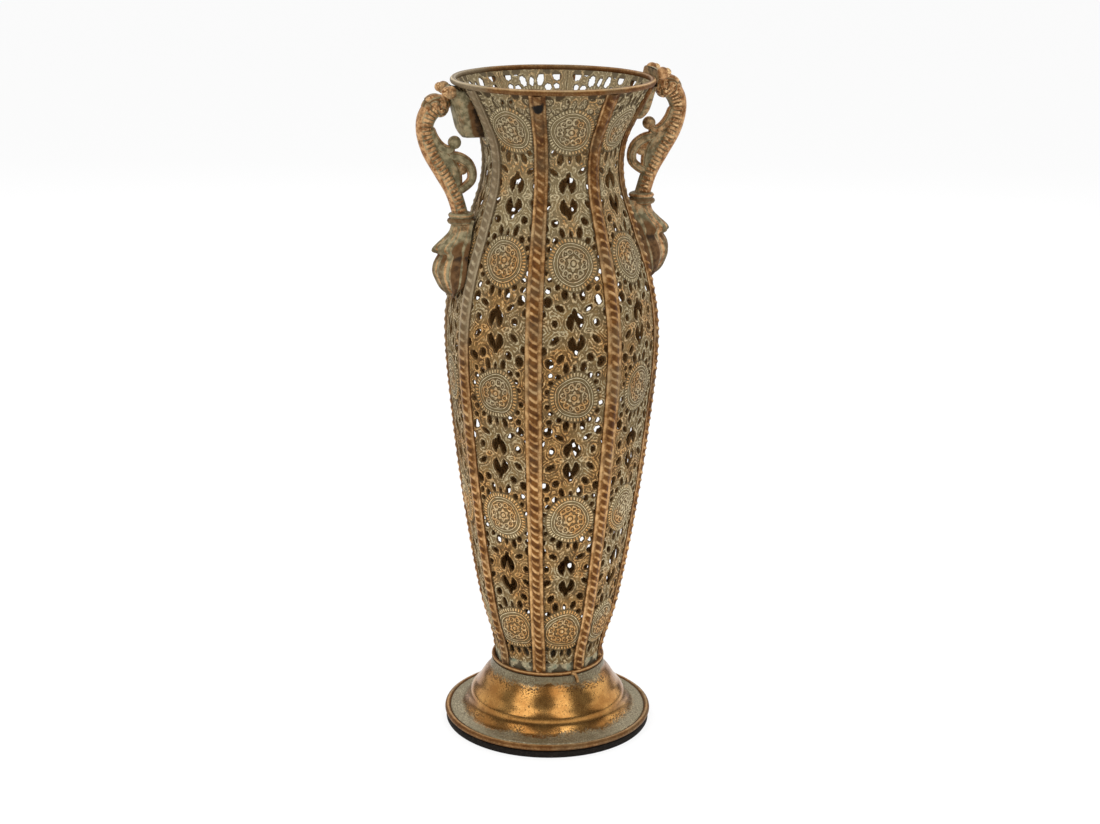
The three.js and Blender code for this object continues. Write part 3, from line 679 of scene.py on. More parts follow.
def dark_pad():
    """Black-brown pad with fine dust."""
    finish = Finish("dark_pad")
    grain = finish.mottle(1.2, 4.0, 0.7)
    colour = finish.mix(grain.ease(0.4, 0.75), srgb(18, 14, 11), srgb(46, 39, 32))
    return finish.shade(
        Base_Color=colour,
        Roughness=grain * 0.2 + 0.7,
        Specular_IOR_Level=0.15,
        Normal=finish.bump(grain, 0.1),
    )


WASHED_SHEET = washed_sheet()
RUBBED_COPPER = rubbed_copper("rubbed_copper", 1.0)
RUBBED_WIRE = rubbed_copper("rubbed_wire", 0.35)
SPUN_BRONZE = spun_bronze()
CAST_BRONZE = cast_bronze()
DARK_PAD = dark_pad()


def from_medallion(distance):
    """Distance along the panel from the middle of the nearest medallion, positive below it."""
    return (distance - TOP_MEDALLION + PATTERN_PITCH / 2) % PATTERN_PITCH - PATTERN_PITCH / 2


def opening_gap(across, distance):
    """Distance from the edge of the nearest opening of the pattern. For a leaning ellipse it is (length of
    the place in half sizes - 1) times the smaller half size; a heart is a stem that widens evenly and a
    round head, with a pointed tongue left in it."""
    along = from_medallion(distance)
    side = np.abs(across)
    gap = np.full_like(side, 1e3)
    for centre, middle, width, length, lean in OPENINGS:
        cosine, sine = math.cos(math.radians(lean)), math.sin(math.radians(lean))
        athwart = (side - centre) * cosine - (along - middle) * sine
        lengthwise = (side - centre) * sine + (along - middle) * cosine
        gap = np.minimum(gap, (np.hypot(athwart / width, lengthwise / length) - 1) * min(width, length))
    along = np.abs(along)
    stem = side - STEM_HALF_WIDTH - STEM_SLOPE * (along - STEM_FROM)
    stem = np.maximum(stem, np.maximum(STEM_FROM - along, along - STEM_TO))
    head = np.maximum(np.hypot(side, along - HEAD_AT) - HEAD_RADIUS, along - HEAD_END)
    tongue = TONGUE_SLOPE * (along - TONGUE_FROM) - side
    return np.minimum(gap, np.maximum(np.minimum(stem, head), tongue))


def cut_sheet(places, triangles, gap):
    """Triangles of a flat sheet cut along the line where the gap is zero, keeping its positive side.
    A triangle with one good corner keeps its tip, and one with two keeps the two halves of a quad."""
    good = gap > 0
    count = good[triangles].sum(1)

    def led_by(chosen, leader):
        first = np.argmax(good[chosen] == leader, axis=1)
        return np.take_along_axis(chosen, (first[:, None] + np.arange(3)) % 3, 1)

    tip = led_by(triangles[count == 1], True)
    stump = led_by(triangles[count == 2], False)
    sides = np.concatenate([tip[:, [0, 1]], tip[:, [0, 2]], stump[:, [0, 1]], stump[:, [0, 2]]])
    edges, which = np.unique(np.sort(sides, axis=1), axis=0, return_inverse=True)
    share = gap[edges[:, 0]] / (gap[edges[:, 0]] - gap[edges[:, 1]])
    cuts = places[edges[:, 0]] + (places[edges[:, 1]] - places[edges[:, 0]]) * share[:, None]
    cut = len(places) + which.ravel()
    tip_1, tip_2, stump_1, stump_2 = np.split(cut, np.cumsum([len(tip), len(tip), len(stump)]))
    kept = np.concatenate([
        triangles[count == 3],
        np.stack([tip[:, 0], tip_1, tip_2], 1),
        np.stack([stump_1, stump[:, 1], stump[:, 2]], 1),
        np.stack([stump_1, stump[:, 2], stump_2], 1),
    ])
    used, renumbered = np.unique(kept, return_inverse=True)
    return np.concatenate([places, cuts])[used], renumbered.reshape(-1, 3)


def stamped_relief(across, along, gap):
    """Height of the stamped ornament from 0 to 1: a raised border round every opening, and on a medallion a
    ring of ticks, two thin rings, six pairs of scrolls and a six-petalled flower round a boss, as in its
    finish."""
    radius = np.hypot(across, along)
    angle = np.arctan2(across, along)
    border = ease(gap, 0.1, 0.6) * ease(gap, 2.4, 1.5)
    tick_ring = ease(radius, TICK_RING - 0.3, TICK_RING + 0.3)
    tick_ring = tick_ring * ease(radius, MEDALLION_RADIUS + 0.4, MEDALLION_RADIUS - 0.4)
    ticks = ease(np.cos(angle * TICK_COUNT), -0.6, 0.4) * tick_ring
    rings = bell(radius, OUTER_RING, 0.45) + bell(radius, INNER_RING, 0.45)
    reach = PETAL_REACH + PETAL_SWAY * np.cos(angle * PETAL_COUNT)
    petals = ease(reach - radius, -0.4, 0.7) * ease(np.abs(radius - PETAL_GROOVE), 0.1, 0.6)
    boss = ease(radius, BOSS_RADIUS, BOSS_RADIUS - 0.6)
    ornament = np.maximum(np.maximum(ticks, rings * 0.7), np.maximum(petals, boss))
    for turn in np.radians(SCROLL_TURNS):
        centre = SCROLL_RADIUS * math.sin(turn)
        middle = SCROLL_RADIUS * math.cos(turn)
        curl = np.abs(np.hypot(across - centre, along - middle) - SCROLL_CURL)
        ornament = np.maximum(ornament, ease(curl, 1.0, 0.1))
    inside = ease(radius, MEDALLION_RADIUS + 1.0, MEDALLION_RADIUS + 0.4)
    return border * (1 - inside) + ornament * inside


def pierced_panel(number, rows=560, columns=72):
    """One panel centred on +X: a grid over the sheet, cut along its openings, with an outer and an inner
    face and walls between them; the medallions swell outwards and the ornament is raised. Slow waves shift
    the pattern a little and quick ones roughen the edges of the openings, both different in each panel."""
    distance = np.linspace(0, SEAM_LENGTH, rows)[:, None] * np.ones(columns)
    half_width = seam_radius(distance) * PANEL_ANGLE / 2 - SEAT_GAP / 2
    across = np.linspace(-1, 1, columns)[None, :] * half_width

    def pattern_place(across, distance):
        aside = 0.5 * np.sin(distance * 0.11 + 2.1 * number)
        aside = aside + 0.4 * np.sin(distance * 0.23 + across * 0.19 + number)
        below = 0.5 * np.sin(across * 0.21 + distance * 0.07 + 1.3 * number)
        below = below + 0.4 * np.sin(distance * 0.19 - across * 0.25)
        return across + aside, distance + below

    def gap_at(across, distance):
        quick = np.sin(across * 2.3 + distance * 1.1 + number)
        quick = quick * np.sin(distance * 1.9 - across * 0.9 + 2 * number)
        return opening_gap(*pattern_place(across, distance)) + 0.35 * quick - 0.5 * ease(distance, 24, 12)

    border = np.maximum(np.abs(across) - half_width + SHEET_BORDER, OPEN_TOP - distance)
    border = np.maximum(border, distance - SEAM_LENGTH + OPEN_BOTTOM)
    gap = np.maximum(gap_at(across, distance), border).ravel()
    quads = grid_quads(rows, columns, round_columns=False)
    triangles = np.concatenate([quads[:, [0, 1, 2]], quads[:, [0, 2, 3]]])
    places, triangles = cut_sheet(np.stack([across.ravel(), distance.ravel()], 1), triangles, gap)
    across, distance = places.T
    aside, below = pattern_place(across, distance)
    along = from_medallion(below)
    swell = MEDALLION_SWELL * ease(np.hypot(aside, along), MEDALLION_RADIUS + 1, MEDALLION_RADIUS - 7)
    gap = np.maximum(gap_at(across, distance), 0)
    seam = seam_radius(distance) * PANEL_ANGLE / 2 - np.abs(across)
    raised = STAMPED_DEPTH * stamped_relief(np.abs(aside), np.abs(along), gap) * ease(seam, 4.8, 6.2)
    angle = across / seam_radius(distance)
    count = len(places)
    outer = body_point(distance, angle, swell + raised)
    inner = body_point(distance, angle, swell - SHEET)
    points = np.concatenate([outer, inner])
    sides = np.concatenate([triangles[:, [0, 1]], triangles[:, [1, 2]], triangles[:, [2, 0]]])
    single = ~np.isin(sides[:, 0] * count + sides[:, 1], sides[:, 1] * count + sides[:, 0])
    rim = sides[single]
    walls = np.stack([rim[:, 1], rim[:, 0], rim[:, 0] + count, rim[:, 1] + count], 1)
    values = {"across": aside, "along": below, "gap": gap, "seam": seam}
    values = {name: np.tile(value, 2) for name, value in values.items()}
    values["inner"] = np.repeat([0.0, 1.0], count)
    return Shell(points, [triangles, triangles[:, ::-1] + count, walls], **values)


def rope_strap(rows=560, columns=29, under_columns=5):
    """One strap over a seam: flat edges and a half-round bead. Slanting ridges cross the bead, each a bell
    curve of (distance - slope times across) over the pitch, with hollows between them; their places waver a
    little and they fade out towards the mouth."""
    end = distance_at_height(COLLAR_HOOP_HEIGHT + COLLAR_WIRE_RADIUS)
    distance = np.linspace(0, end, rows)[:, None]
    scale = 0.85 + 0.22 * ease(seam_radius(distance), 42, 68)
    across = np.linspace(-1, 1, columns)[None, :] * STRAP_WIDTH / 2 + 0 * distance
    bead = np.sqrt(np.clip(1 - (across / STRAP_BEAD) ** 2, 0, 1))
    waver = 0.5 * np.sin(distance * 0.31) + 0.5 * np.sin(distance * 0.13 + 1)
    phase = (distance + waver - FLUTE_SLOPE * across) / FLUTE_PITCH
    ridge = bell(phase, np.round(phase), 0.17)
    depth = 0.3 + 0.7 * ease(distance, 30, 120)
    lip = STRAP_EDGE * (0.75 + 0.35 * ease(np.abs(across), STRAP_BEAD, STRAP_WIDTH / 2))
    top = lip + (STRAP_DOME - STRAP_EDGE) * bead * (1 - 0.4 * depth * (1 - ridge))
    rope = ease(bead, 0.25, 0.75)
    relief = 0.62 - 0.34 * (1 - depth) + rope * (0.36 * depth * ridge - 0.56 * depth * (1 - ridge))
    # Painted highlight along the edge at minus across; the dark line beside the bead is a groove
    relief = relief + 0.2 * ease(-across, 3.2, 4.2) - 0.2 * bell(np.abs(across), STRAP_BEAD, 0.4)
    # Painted shade along both outer edges, where the strap meets the panel
    relief = relief - 0.5 * ease(np.abs(across), 4.55, 4.95)
    under = np.zeros((rows, under_columns))
    back = np.linspace(1, -1, under_columns)[None, :] * STRAP_WIDTH / 2 + under
    across_all = np.concatenate([across, back], 1) * scale
    offset = SEAT_GAP / 3 + np.concatenate([top, under], 1)
    angle = PANEL_ANGLE / 2 + across_all / seam_radius(distance)
    points = body_point(distance, angle, offset)
    strap = tube(points, relief=np.concatenate([relief, under + 0.2], 1))
    return strap.turned(-PANEL_ANGLE / 2)


def wire_hoop(radius, height, wire, lines, rows=240, columns=24, wobble=0.12):
    """Round wire bent round the axis, with a slow hand-made waver in its radius and height. The value, a
    painted highlight, is high along the given lines; each falls off as a bell curve of the turn round the
    wire from its place."""
    turn = full_turn(rows)[:, None]
    side = np.linspace(-math.pi, math.pi, columns, endpoint=False)[None, :]
    waver = wobble * (np.sin(3 * turn + 1) + 0.6 * np.sin(7 * turn + 2) + 0.4 * np.sin(13 * turn))
    reach = radius + waver * 0.5 + wire * np.cos(side)
    rise = height + waver * 0.4 + wire * np.sin(side)
    # Painted highlight along the given lines round the wire
    relief = 0.2 + sum(high * bell(side, math.radians(at), 0.35) for at, high in lines)
    return ring(about_axis(reach, turn, rise), relief=relief)


def hoop_tail(steps=24, sides=12):
    """Loose end of the collar wire, turned down over the neck of the foot: a round bar along a curve of
    angle, radius and height."""
    angle, radius, height = curve_through(COLLAR_TAIL, np.linspace(0, 1, steps)).T
    angle = np.radians(angle)
    core = about_axis(radius, angle, height)
    outward = about_axis(1, angle, 0)
    way = np.gradient(core, axis=0)
    athwart = np.cross(way / np.linalg.norm(way, axis=1)[:, None], outward)
    turn = full_turn(sides)[None, :, None]
    around = np.cos(turn) * outward[:, None] + np.sin(turn) * athwart[:, None]
    points = core[:, None] + COLLAR_TAIL_RADIUS * around
    return tube(points, relief=0.3 + 0.3 * np.cos(turn[..., 0]))


def spun_profile(stations, columns=160):
    """Surface turned about the axis from stations of radius and height that close on themselves."""
    radius, height = np.asarray(stations, float).T[:, :, None]
    return ring(about_axis(radius, full_turn(columns), height))


def spun_foot():
    """Spun foot: flange, cove, roll, bell and neck outside as one smooth curve through the stations, and
    the same line a sheet further in."""
    edge = [
        [FLANGE_OUTER_RADIUS, FLANGE_OUTER_HEIGHT - FOOT_SHEET / 2],
        [FLANGE_OUTER_RADIUS - 0.3, FLANGE_OUTER_HEIGHT],
    ]
    outside = np.concatenate([edge, curve_through(FOOT_LINE, np.linspace(0, 1, 100))])
    inside = outside[::-1] - [FOOT_SHEET, 0]
    inside[:, 1] -= FOOT_SHEET * 0.6
    inside[0, 1] = FOOT_TOP_HEIGHT
    return spun_profile(np.concatenate([outside, inside]))


def pad_disc():
    """Pad under the base: a disc with a rounded edge; its middle is closed on a small ring."""
    lower = [[PAD_RADIUS - inset, rise] for inset, rise in PAD_EDGE]
    upper = [[PAD_RADIUS - inset, PAD_HEIGHT - rise] for inset, rise in reversed(PAD_EDGE)]
    return spun_profile([[PAD_MIDDLE, 0], *lower, *upper, [PAD_MIDDLE, PAD_HEIGHT]])


# Bars of a handle: reach from the axis, height above the collar ring, half depth and half width
SPINE = [
    [65, 71.5, 4.4, 6.0], [73.5, 71, 6.2, 6.8], [79.8, 64, 6.0, 6.0], [81.4, 54.5, 5.3, 5.2],
    [78, 42.5, 5.3, 5.2], [70.6, 29.5, 5.3, 5.2], [63.4, 16, 5.0, 5.2], [58.6, 0, 5.0, 5.5],
    [58.2, -6, 5.4, 6.0],
]
BUD = [
    [79.2, 64, 5.2, 5.6], [77.2, 70.2, 6.0, 6.6], [74.2, 72, 6.2, 7.0], [71.8, 68.6, 5.8, 6.6],
    [71.6, 63.2, 4.2, 4.6],
]
UPPER_CURL = [
    [78.5, 58, 3.2, 3.6], [76, 50.5, 3.6, 3.8], [71.6, 44.8, 3.6, 3.8], [66.6, 42.6, 3.3, 3.6],
    [63.2, 45, 2.8, 3.2],
]
WEB = [[73, 43, 3.4, 3.4], [67, 36.5, 4.8, 3.8], [63, 28.5, 4.8, 3.8], [61, 18.5, 3.4, 3.4]]
LOWER_CURL = [
    [68, 39, 3.4, 3.4], [60.5, 38.0, 3.6, 3.6], [54.6, 34.4, 3.5, 3.6], [51.8, 29, 3.2, 3.6],
    [52.0, 24, 3.0, 3.6], [55.0, 20.4, 2.9, 3.6], [61, 16.5, 3.0, 3.4],
]
# Pitch of the ribs on the spine and of the rows of scales on the bud
RIB_PITCH = 2.7
SCALE_PITCH = 3.6
# Balls of a handle, ears of its lug and their bosses: reach, height and radius
UPPER_BALL = [62.6, 47.4, 4.2]
LOWER_BALL = [57.8, 30.4, 3.4]
EAR = [67.2, 80.0, 4.0]
EAR_BOSS = [69.8, 80.4, 3.0]
EAR_SPREAD = 12.0
# Collar rings round the foot of the spine: radius and height
COLLAR_REACH = 58.6
COLLAR_RINGS = [
    [5.0, -5.4], [6.4, -4.2], [8.2, -3.2], [8.9, -2.0], [8.5, -0.9], [7.5, -0.2], [7.3, 0.2], [7.8, 0.9],
    [8.2, 1.8], [7.6, 2.7], [6.2, 3.4], [5.0, 3.8],
]
# Lug and leaf: height, reach and half width
LUG = [
    [50.6, 57.5, 4], [51.5, 58.5, 7], [54, 60.5, 10], [58, 62.4, 13], [65, 64.3, 15], [72, 66, 15.5],
    [80, 68, 14.5], [82, 67.5, 12],
]
LUG_THICKNESS = 14.0
LUG_CROWN = 0.15
LEAF_PETALS = 5
LEAF = [
    [-47, 64.5, 11], [-43.5, 70, 16.5], [-39.5, 73.3, 20], [-34, 75.8, 20.5], [-28, 75, 18.5],
    [-22, 72, 15.5], [-17.5, 75, 14], [-13, 70.2, 12], [-8, 66, 9], [-1, 64.5, 7],
]
BODY_CLEARANCE = 0.6


def cast_bar(stations, steps, sides, dress):
    """Bar along a curve in the plane of the handle: an ellipse of the half depth and the half width at each
    step, square to the curve, swollen and tinted as the dress tells from the run along the bar in
    millimetres and the turn round it."""
    core = curve_through(stations, np.linspace(0, 1, steps))
    middle = core[:, :2]
    way = np.gradient(middle, axis=0)
    pace = np.linalg.norm(way, axis=1)
    way = way / pace[:, None]
    run = np.concatenate([[0], np.cumsum((pace[1:] + pace[:-1]) / 2)])[:, None]
    turn = full_turn(sides)[None, :]
    swell, relief = dress(run, turn)
    from_end = np.minimum(run, run[-1] - run)
    rounding = np.sqrt(np.clip(1 - (1 - np.clip(from_end / core[:, 2:3], 0, 1)) ** 2, 0.01, 1))
    depth = core[:, 2:3] * np.cos(turn) * swell * rounding
    width = core[:, 3:4] * np.sin(turn) * swell * rounding
    reach = middle[:, 0:1] + depth * way[:, 1:2]
    height = middle[:, 1:2] - depth * way[:, 0:1]
    return tube(np.stack([reach, width, height], -1), relief=relief)


def ribbed_dress(run, turn):
    """Smooth outer roll, a groove, ribs across the middle of both cheeks with narrow dark gaps between
    them, and a smooth inner face. Gaps and groove are bell curves."""
    inward = np.cos(turn)
    band = ease(inward, -0.4, -0.2) * ease(inward, 0.78, 0.6)
    phase = run / RIB_PITCH
    gap = bell(phase, np.round(phase), 0.2)
    groove = bell(inward, -0.42, 0.1)
    swell = 1 - 0.1 * band * gap - 0.08 * groove
    roll = 0.68 + 0.1 * np.sin(run * 0.9) * np.sin(turn * 3)
    inner = ease(inward, 0.6, 0.8)
    relief = (roll + 0.25 * band) * (1 - inner) + 0.34 * inner - 0.92 * band * gap - 0.25 * groove
    return swell, relief


def scaly_dress(run, turn):
    """Rows of blunt lobes with dark lines round them, each row turned half a lobe from the one before."""
    row = run / SCALE_PITCH
    shift = np.floor(row) % 2
    lobe = np.abs(np.sin(turn * 3 + shift * math.pi / 2)) * np.sqrt(np.clip(1 - (row % 1) ** 2, 0, 1))
    return 0.92 + 0.12 * lobe, 0.04 + 0.5 * ease(lobe, 0.2, 0.5) + 0.45 * ease(lobe, 0.7, 0.95)


def grooved_dress(run, turn):
    """Raised edges inside and outside the curl, a dark line beside each, and a hollow on each cheek."""
    edge = np.abs(np.cos(turn))
    line = bell(edge, 0.62, 0.12)
    swell = 1 - 0.16 * bell(edge, 0.25, 0.3) - 0.06 * line + 0 * run
    relief = 0.4 + 0.45 * ease(edge, 0.65, 0.88) - 0.36 * line + 0 * run
    return swell, relief


def cast_ball(reach, height, radius, across=0.0, relief=0.6, steps=16, sides=24):
    """Ball, from pole to pole."""
    rise = np.linspace(-math.pi / 2 + 0.05, math.pi / 2 - 0.05, steps)[:, None]
    points = about_axis(radius * np.cos(rise), full_turn(sides), radius * np.sin(rise))
    return tube(points + [reach, across, height], relief=relief)


def collar_rings(sides=48):
    """Two rings round the foot of the spine, turned about an upright axis; the groove between is low."""
    radius, height = np.array(COLLAR_RINGS).T[:, :, None]
    points = about_axis(radius, full_turn(sides), height)
    relief = 0.1 + 0.5 * bell(height, -3.3, 0.8) + 0.6 * bell(height, 2.0, 0.9)
    return tube(points + [COLLAR_REACH, 0, 0], relief=relief)


def station_columns(stations, steps):
    """Each value of the stations along a smooth curve through them, as a column with one row a step."""
    return (column[:, None] for column in curve_through(stations, np.linspace(0, 1, steps)).T)


def lug_plate(steps=48, columns=38):
    """Plate that joins the top of the handle to the body. Its front is a circle of the reach with a shallow
    hollow down the middle; its back lies a thickness further in, rounded at the sides, and carries painted
    shade below the rim."""
    side = np.linspace(-1, 1, columns)[None, :]
    height, reach, half_width = station_columns(LUG, steps)
    across = side * half_width
    fall = LUG_THICKNESS * LUG_CROWN * (1 - np.cos(side * math.pi / 2))
    hollow = bell(side, 0, 0.4) * ease(height, 56, 66)
    front = np.sqrt(reach ** 2 - across ** 2) - fall - 0.9 * hollow
    back = front - LUG_THICKNESS * np.sqrt(1 - 0.97 * np.abs(side) ** 10)
    level = height + 0 * front
    ahead = np.stack([front, across, level], -1)
    behind = np.stack([back, across, level], -1)
    relief = 0.4 - 0.1 * hollow
    # Painted shade on the back below the rim, where the lug meets the body
    shade = 0.4 - 0.75 * ease((front - back) / LUG_THICKNESS, 0.1, 0.7) * ease(height, 78, 70)
    loops = np.concatenate([ahead, behind[:, ::-1]], 1)
    return tube(loops, relief=np.concatenate([relief, shade[:, ::-1]], 1))


def pleated_leaf(collar_height, steps=110, columns=75):
    """Leaf that lies on the body below the collar ring: from the wall it rises to its reach as the 0.7th
    power of the cosine of the side, and five petals deepen down it. Each is brown with a copper edge and
    green-grey lies between them; painted shade darkens the sides and a band under the upper tier. The
    lower end and the upper tier hang in scallops."""
    side = np.linspace(-1, 1, columns)[None, :]
    height, reach, half_width = station_columns(LEAF, steps)
    wall = seam_radius(distance_at_height(height + collar_height)) + BODY_CLEARANCE
    mound = np.clip(np.cos(side * math.pi / 2), 0, 1) ** 0.7
    pleat = np.cos(side * LEAF_PETALS * math.pi) / 2 + 0.5
    depth = ease(height, -3, -22)
    tier = bell(height, -18.5, 3.2)
    lift = mound * (2.4 * depth * (pleat - 0.4) + 1.4 * tier * pleat)
    drop = 2.8 * pleat * ease(height, -34, -47) + 2.4 * pleat * tier
    radius = wall + np.maximum(reach - wall, 1.5) * mound + lift
    angle = side * half_width / wall
    # Painted shade in a band under the upper tier
    under = ease(height, -19.5, -22.5) * ease(height, -27, -23.5)
    petal_place = side * LEAF_PETALS / 2
    from_vein = np.abs(petal_place - np.round(petal_place))
    line = bell(from_vein, 0.31, 0.05)
    petal = ease(from_vein, 0.28, 0.22)
    relief = 0.36 + (0.15 + 0.3 * depth) * line + petal * (0.12 - 0.34 * depth) - 0.2 * under
    # Painted shade on the sides, which turn to the body
    relief = relief - 0.4 * ease(np.abs(side), 0.6, 0.95) * depth
    front = about_axis(radius, angle, height - drop)
    back = about_axis(wall, angle, height - drop)
    loops = np.concatenate([front, back[:, ::-1]], 1)
    return tube(loops, relief=np.concatenate([relief, 0.2 + 0 * relief], 1))


def clear_of_body(points):
    """Moves points that lie in the body's wall or mouth hoop straight out from the axis."""
    x, y, z = points.T
    distance = distance_at_height(z)
    share = flattened(at_run(SEAM_LENGTH - distance, SEAM_PLACES), np.arctan2(y, x))
    wall = seam_radius(distance) * share + BODY_CLEARANCE
    wall = np.where(z > BODY_TOP - 2.5, RIM_OUTER_RADIUS, wall)
    grow = np.maximum(1, wall / np.hypot(x, y))
    return np.stack([x * grow, y * grow, z], -1)


def scroll_handle(collar_height):
    """One casting on the +X side, as bars, balls and leaves that run into one another."""
    bars = [
        cast_bar(SPINE, 340, 40, ribbed_dress),
        cast_bar(BUD, 110, 64, scaly_dress),
        cast_bar(UPPER_CURL, 70, 28, grooved_dress),
        cast_bar(WEB, 60, 28, grooved_dress),
        cast_bar(LOWER_CURL, 120, 28, grooved_dress),
    ]
    ears = [cast_ball(*EAR, across=across, relief=0.55) for across in (-EAR_SPREAD, EAR_SPREAD)]
    bosses = [cast_ball(*EAR_BOSS, across=across, relief=1.0) for across in (-EAR_SPREAD, EAR_SPREAD)]
    balls = [cast_ball(*UPPER_BALL, relief=0.4), cast_ball(*LOWER_BALL, relief=0.45)]
    plates = [lug_plate(), pleated_leaf(collar_height), collar_rings()]
    casting = joined(bars + ears + bosses + balls + plates)
    casting.points = clear_of_body(casting.points + [0, 0, collar_height])
    return casting


# Stage: places in metres, sensor and lens in millimetres, the photograph's focal length and width in pixels
FLOOR_SIZE = 30.0
CAMERA_TURN = math.radians(13.5)
CAMERA_DISTANCE = 1.2751
CAMERA_HEIGHT = 0.595
CAMERA_TILT = math.radians(16.61)
CAMERA_ROLL = math.radians(-0.55)
SENSOR_WIDTH = 36
PHOTO_FOCUS = 2040
PHOTO_WIDTH = 1100
CAMERA_LENS = SENSOR_WIDTH * PHOTO_FOCUS / PHOTO_WIDTH
AIM_HEIGHT = 0.23
WORLD_LEVEL = 0.16
SKY_STRENGTH = 2.2
SKY_SPREAD = math.radians(120)
# Soft lamps: name, turn from the camera's side and rise in degrees, distance, width, height and power
SOFTBOXES = [
    ("left_softbox", -44, 42, 1.5, 0.7, 1.5, 7),
    ("right_softbox", 28, 42, 1.5, 0.6, 1.5, 6),
    ("left_card", -112, 22, 1.6, 1.6, 1.2, 5),
    ("right_card", 112, 22, 1.6, 1.6, 1.2, 7),
    ("back_card", 180, 30, 1.8, 1.8, 1.2, 9),
]


def add_camera():
    """Camera on the photograph's side of the vase, tilted down and rolled a little."""
    right = np.array([math.cos(CAMERA_TURN), -math.sin(CAMERA_TURN), 0])
    away = np.array([math.sin(CAMERA_TURN), math.cos(CAMERA_TURN), 0])
    upright = np.array([0, 0, 1])
    forward = away * math.cos(CAMERA_TILT) - upright * math.sin(CAMERA_TILT)
    up = away * math.sin(CAMERA_TILT) + upright * math.cos(CAMERA_TILT)
    rolled_right = right * math.cos(CAMERA_ROLL) - up * math.sin(CAMERA_ROLL)
    rolled_up = right * math.sin(CAMERA_ROLL) + up * math.cos(CAMERA_ROLL)
    spot = upright * CAMERA_HEIGHT - away * CAMERA_DISTANCE
    data = bpy.data.cameras.new("camera")
    data.sensor_fit = "HORIZONTAL"
    data.sensor_width = SENSOR_WIDTH
    data.lens = CAMERA_LENS
    camera = bpy.data.objects.new("camera", data)
    columns = np.stack([rolled_right, rolled_up, -forward, spot], 1)
    camera.matrix_world = Matrix([*columns.tolist(), [0, 0, 0, 1]])
    bpy.context.scene.collection.objects.link(camera)
    bpy.context.scene.camera = camera


def add_softbox(name, turn, rise, distance, width, height, power):
    """Flat soft lamp that faces the middle of the vase; turn is measured from the camera's side."""
    angle = -math.pi / 2 - CAMERA_TURN + math.radians(turn)
    rise = math.radians(rise)
    aim = np.array([0, 0, AIM_HEIGHT])
    way = np.array([math.cos(angle) * math.cos(rise), math.sin(angle) * math.cos(rise), math.sin(rise)])
    side = np.array([-math.sin(angle), math.cos(angle), 0])
    data = bpy.data.lights.new(name, "AREA")
    data.shape = "RECTANGLE"
    data.size = width
    data.size_y = height
    data.energy = power
    lamp = bpy.data.objects.new(name, data)
    columns = np.stack([side, np.cross(way, side), way, aim + way * distance], 1)
    lamp.matrix_world = Matrix([*columns.tolist(), [0, 0, 0, 1]])
    lamp.visible_camera = False
    bpy.context.scene.collection.objects.link(lamp)


def add_sun(strength):
    """Very soft light from above that falls evenly on the whole floor."""
    data = bpy.data.lights.new("sky_light", "SUN")
    data.energy = strength
    data.angle = SKY_SPREAD
    lamp = bpy.data.objects.new("sky_light", data)
    lamp.visible_glossy = False
    bpy.context.scene.collection.objects.link(lamp)


def add_floor():
    """Wide pale floor; four fifths of what the camera and the metal see of it is plain white."""
    half = FLOOR_SIZE / 2
    mesh = bpy.data.meshes.new("floor")
    corners = [(-half, -half, 0), (half, -half, 0), (half, half, 0), (-half, half, 0)]
    mesh.from_pydata(corners, [], [(0, 1, 2, 3)])
    finish = Finish("pale_floor")
    camera_ray = finish.node("ShaderNodeLightPath", output="Is Camera Ray")
    glossy_ray = finish.node("ShaderNodeLightPath", output="Is Glossy Ray")
    white = finish.node("ShaderNodeEmission", inputs={"Strength": 1.0})
    lit = Value(finish, finish.shader.outputs[0])
    seen = camera_ray.greatest(glossy_ray) * 0.8
    surface = finish.node("ShaderNodeMixShader", inputs={0: seen, 1: lit, 2: white})
    finish.plug(finish.tree.nodes["Material Output"].inputs["Surface"], surface)
    mesh.materials.append(finish.shade(Base_Color=srgb(252, 252, 252), Roughness=0.9))
    floor = bpy.data.objects.new("floor", mesh)
    bpy.context.scene.collection.objects.link(floor)


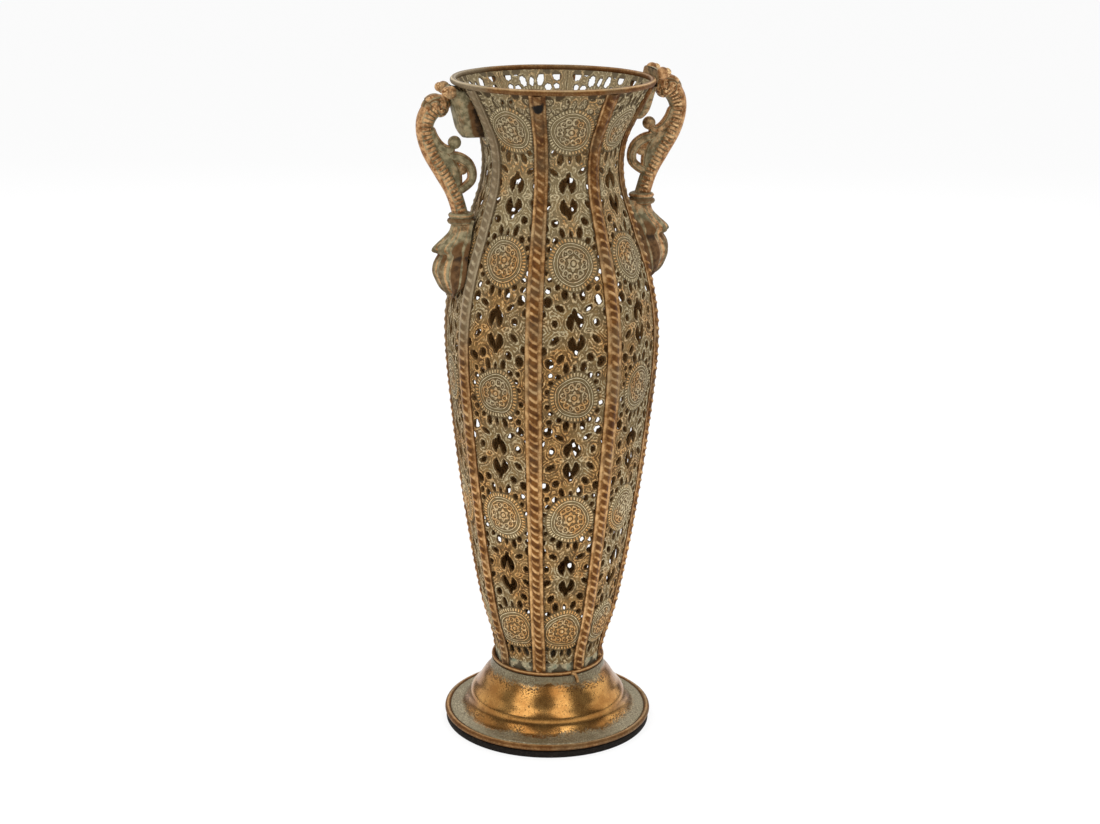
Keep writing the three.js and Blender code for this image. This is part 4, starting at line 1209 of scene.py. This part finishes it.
def add_world(level):
    """Even light from all round."""
    world = bpy.data.worlds.new("world")
    world.use_nodes = True
    background = world.node_tree.nodes["Background"]
    background.inputs["Color"].default_value = (1, 1, 1, 1)
    background.inputs["Strength"].default_value = level
    bpy.context.scene.world = world


strap = rope_strap()
for number in range(PANEL_COUNT):
    turn = number * PANEL_ANGLE
    node = f"panel_{number + 1}"
    panel = pierced_panel(number).turned(turn)
    make_piece(f"pierced_{node}", panel, node, WASHED_SHEET, crease=60)
    node = f"strap_{number + 1}"
    make_piece(f"rope_{node}", strap.turned(turn + PANEL_ANGLE / 2), node, RUBBED_COPPER)

rim = wire_hoop(RIM_HOOP_RADIUS, RIM_HOOP_HEIGHT, RIM_WIRE_RADIUS, RIM_HIGHLIGHTS)
make_piece("rim_wire", rim, "rim_hoop", RUBBED_WIRE)
collar = wire_hoop(COLLAR_HOOP_RADIUS, COLLAR_HOOP_HEIGHT, COLLAR_WIRE_RADIUS, COLLAR_HIGHLIGHTS)
make_piece("collar_wire", joined([collar, hoop_tail()]), "collar_hoop", RUBBED_WIRE)
base = wire_hoop(BASE_HOOP_RADIUS, BASE_HOOP_HEIGHT, BASE_WIRE_RADIUS, BASE_HIGHLIGHTS)
make_piece("base_wire", base, "base_hoop", RUBBED_WIRE)
make_piece("spun_foot", spun_foot(), "foot_bell", SPUN_BRONZE, crease=60)
make_piece("pad_disc", pad_disc(), "base_pad", DARK_PAD)

right_handle = scroll_handle(RIGHT_COLLAR)
make_piece("scroll_handle_right", right_handle, "handle_right", CAST_BRONZE, crease=60)
left_handle = scroll_handle(LEFT_COLLAR).turned(math.pi)
make_piece("scroll_handle_left", left_handle, "handle_left", CAST_BRONZE, crease=60)

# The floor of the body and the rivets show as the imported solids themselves
for name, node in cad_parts.items():
    if node.hide_render:
        continue
    node.data.materials.clear()
    node.data.materials.append(RUBBED_COPPER if "rivet" in name else SPUN_BRONZE)

bpy.context.scene.view_settings.view_transform = "Standard"
add_camera()
add_floor()
add_world(WORLD_LEVEL)
add_sun(SKY_STRENGTH)
for softbox in SOFTBOXES:
    add_softbox(*softbox)
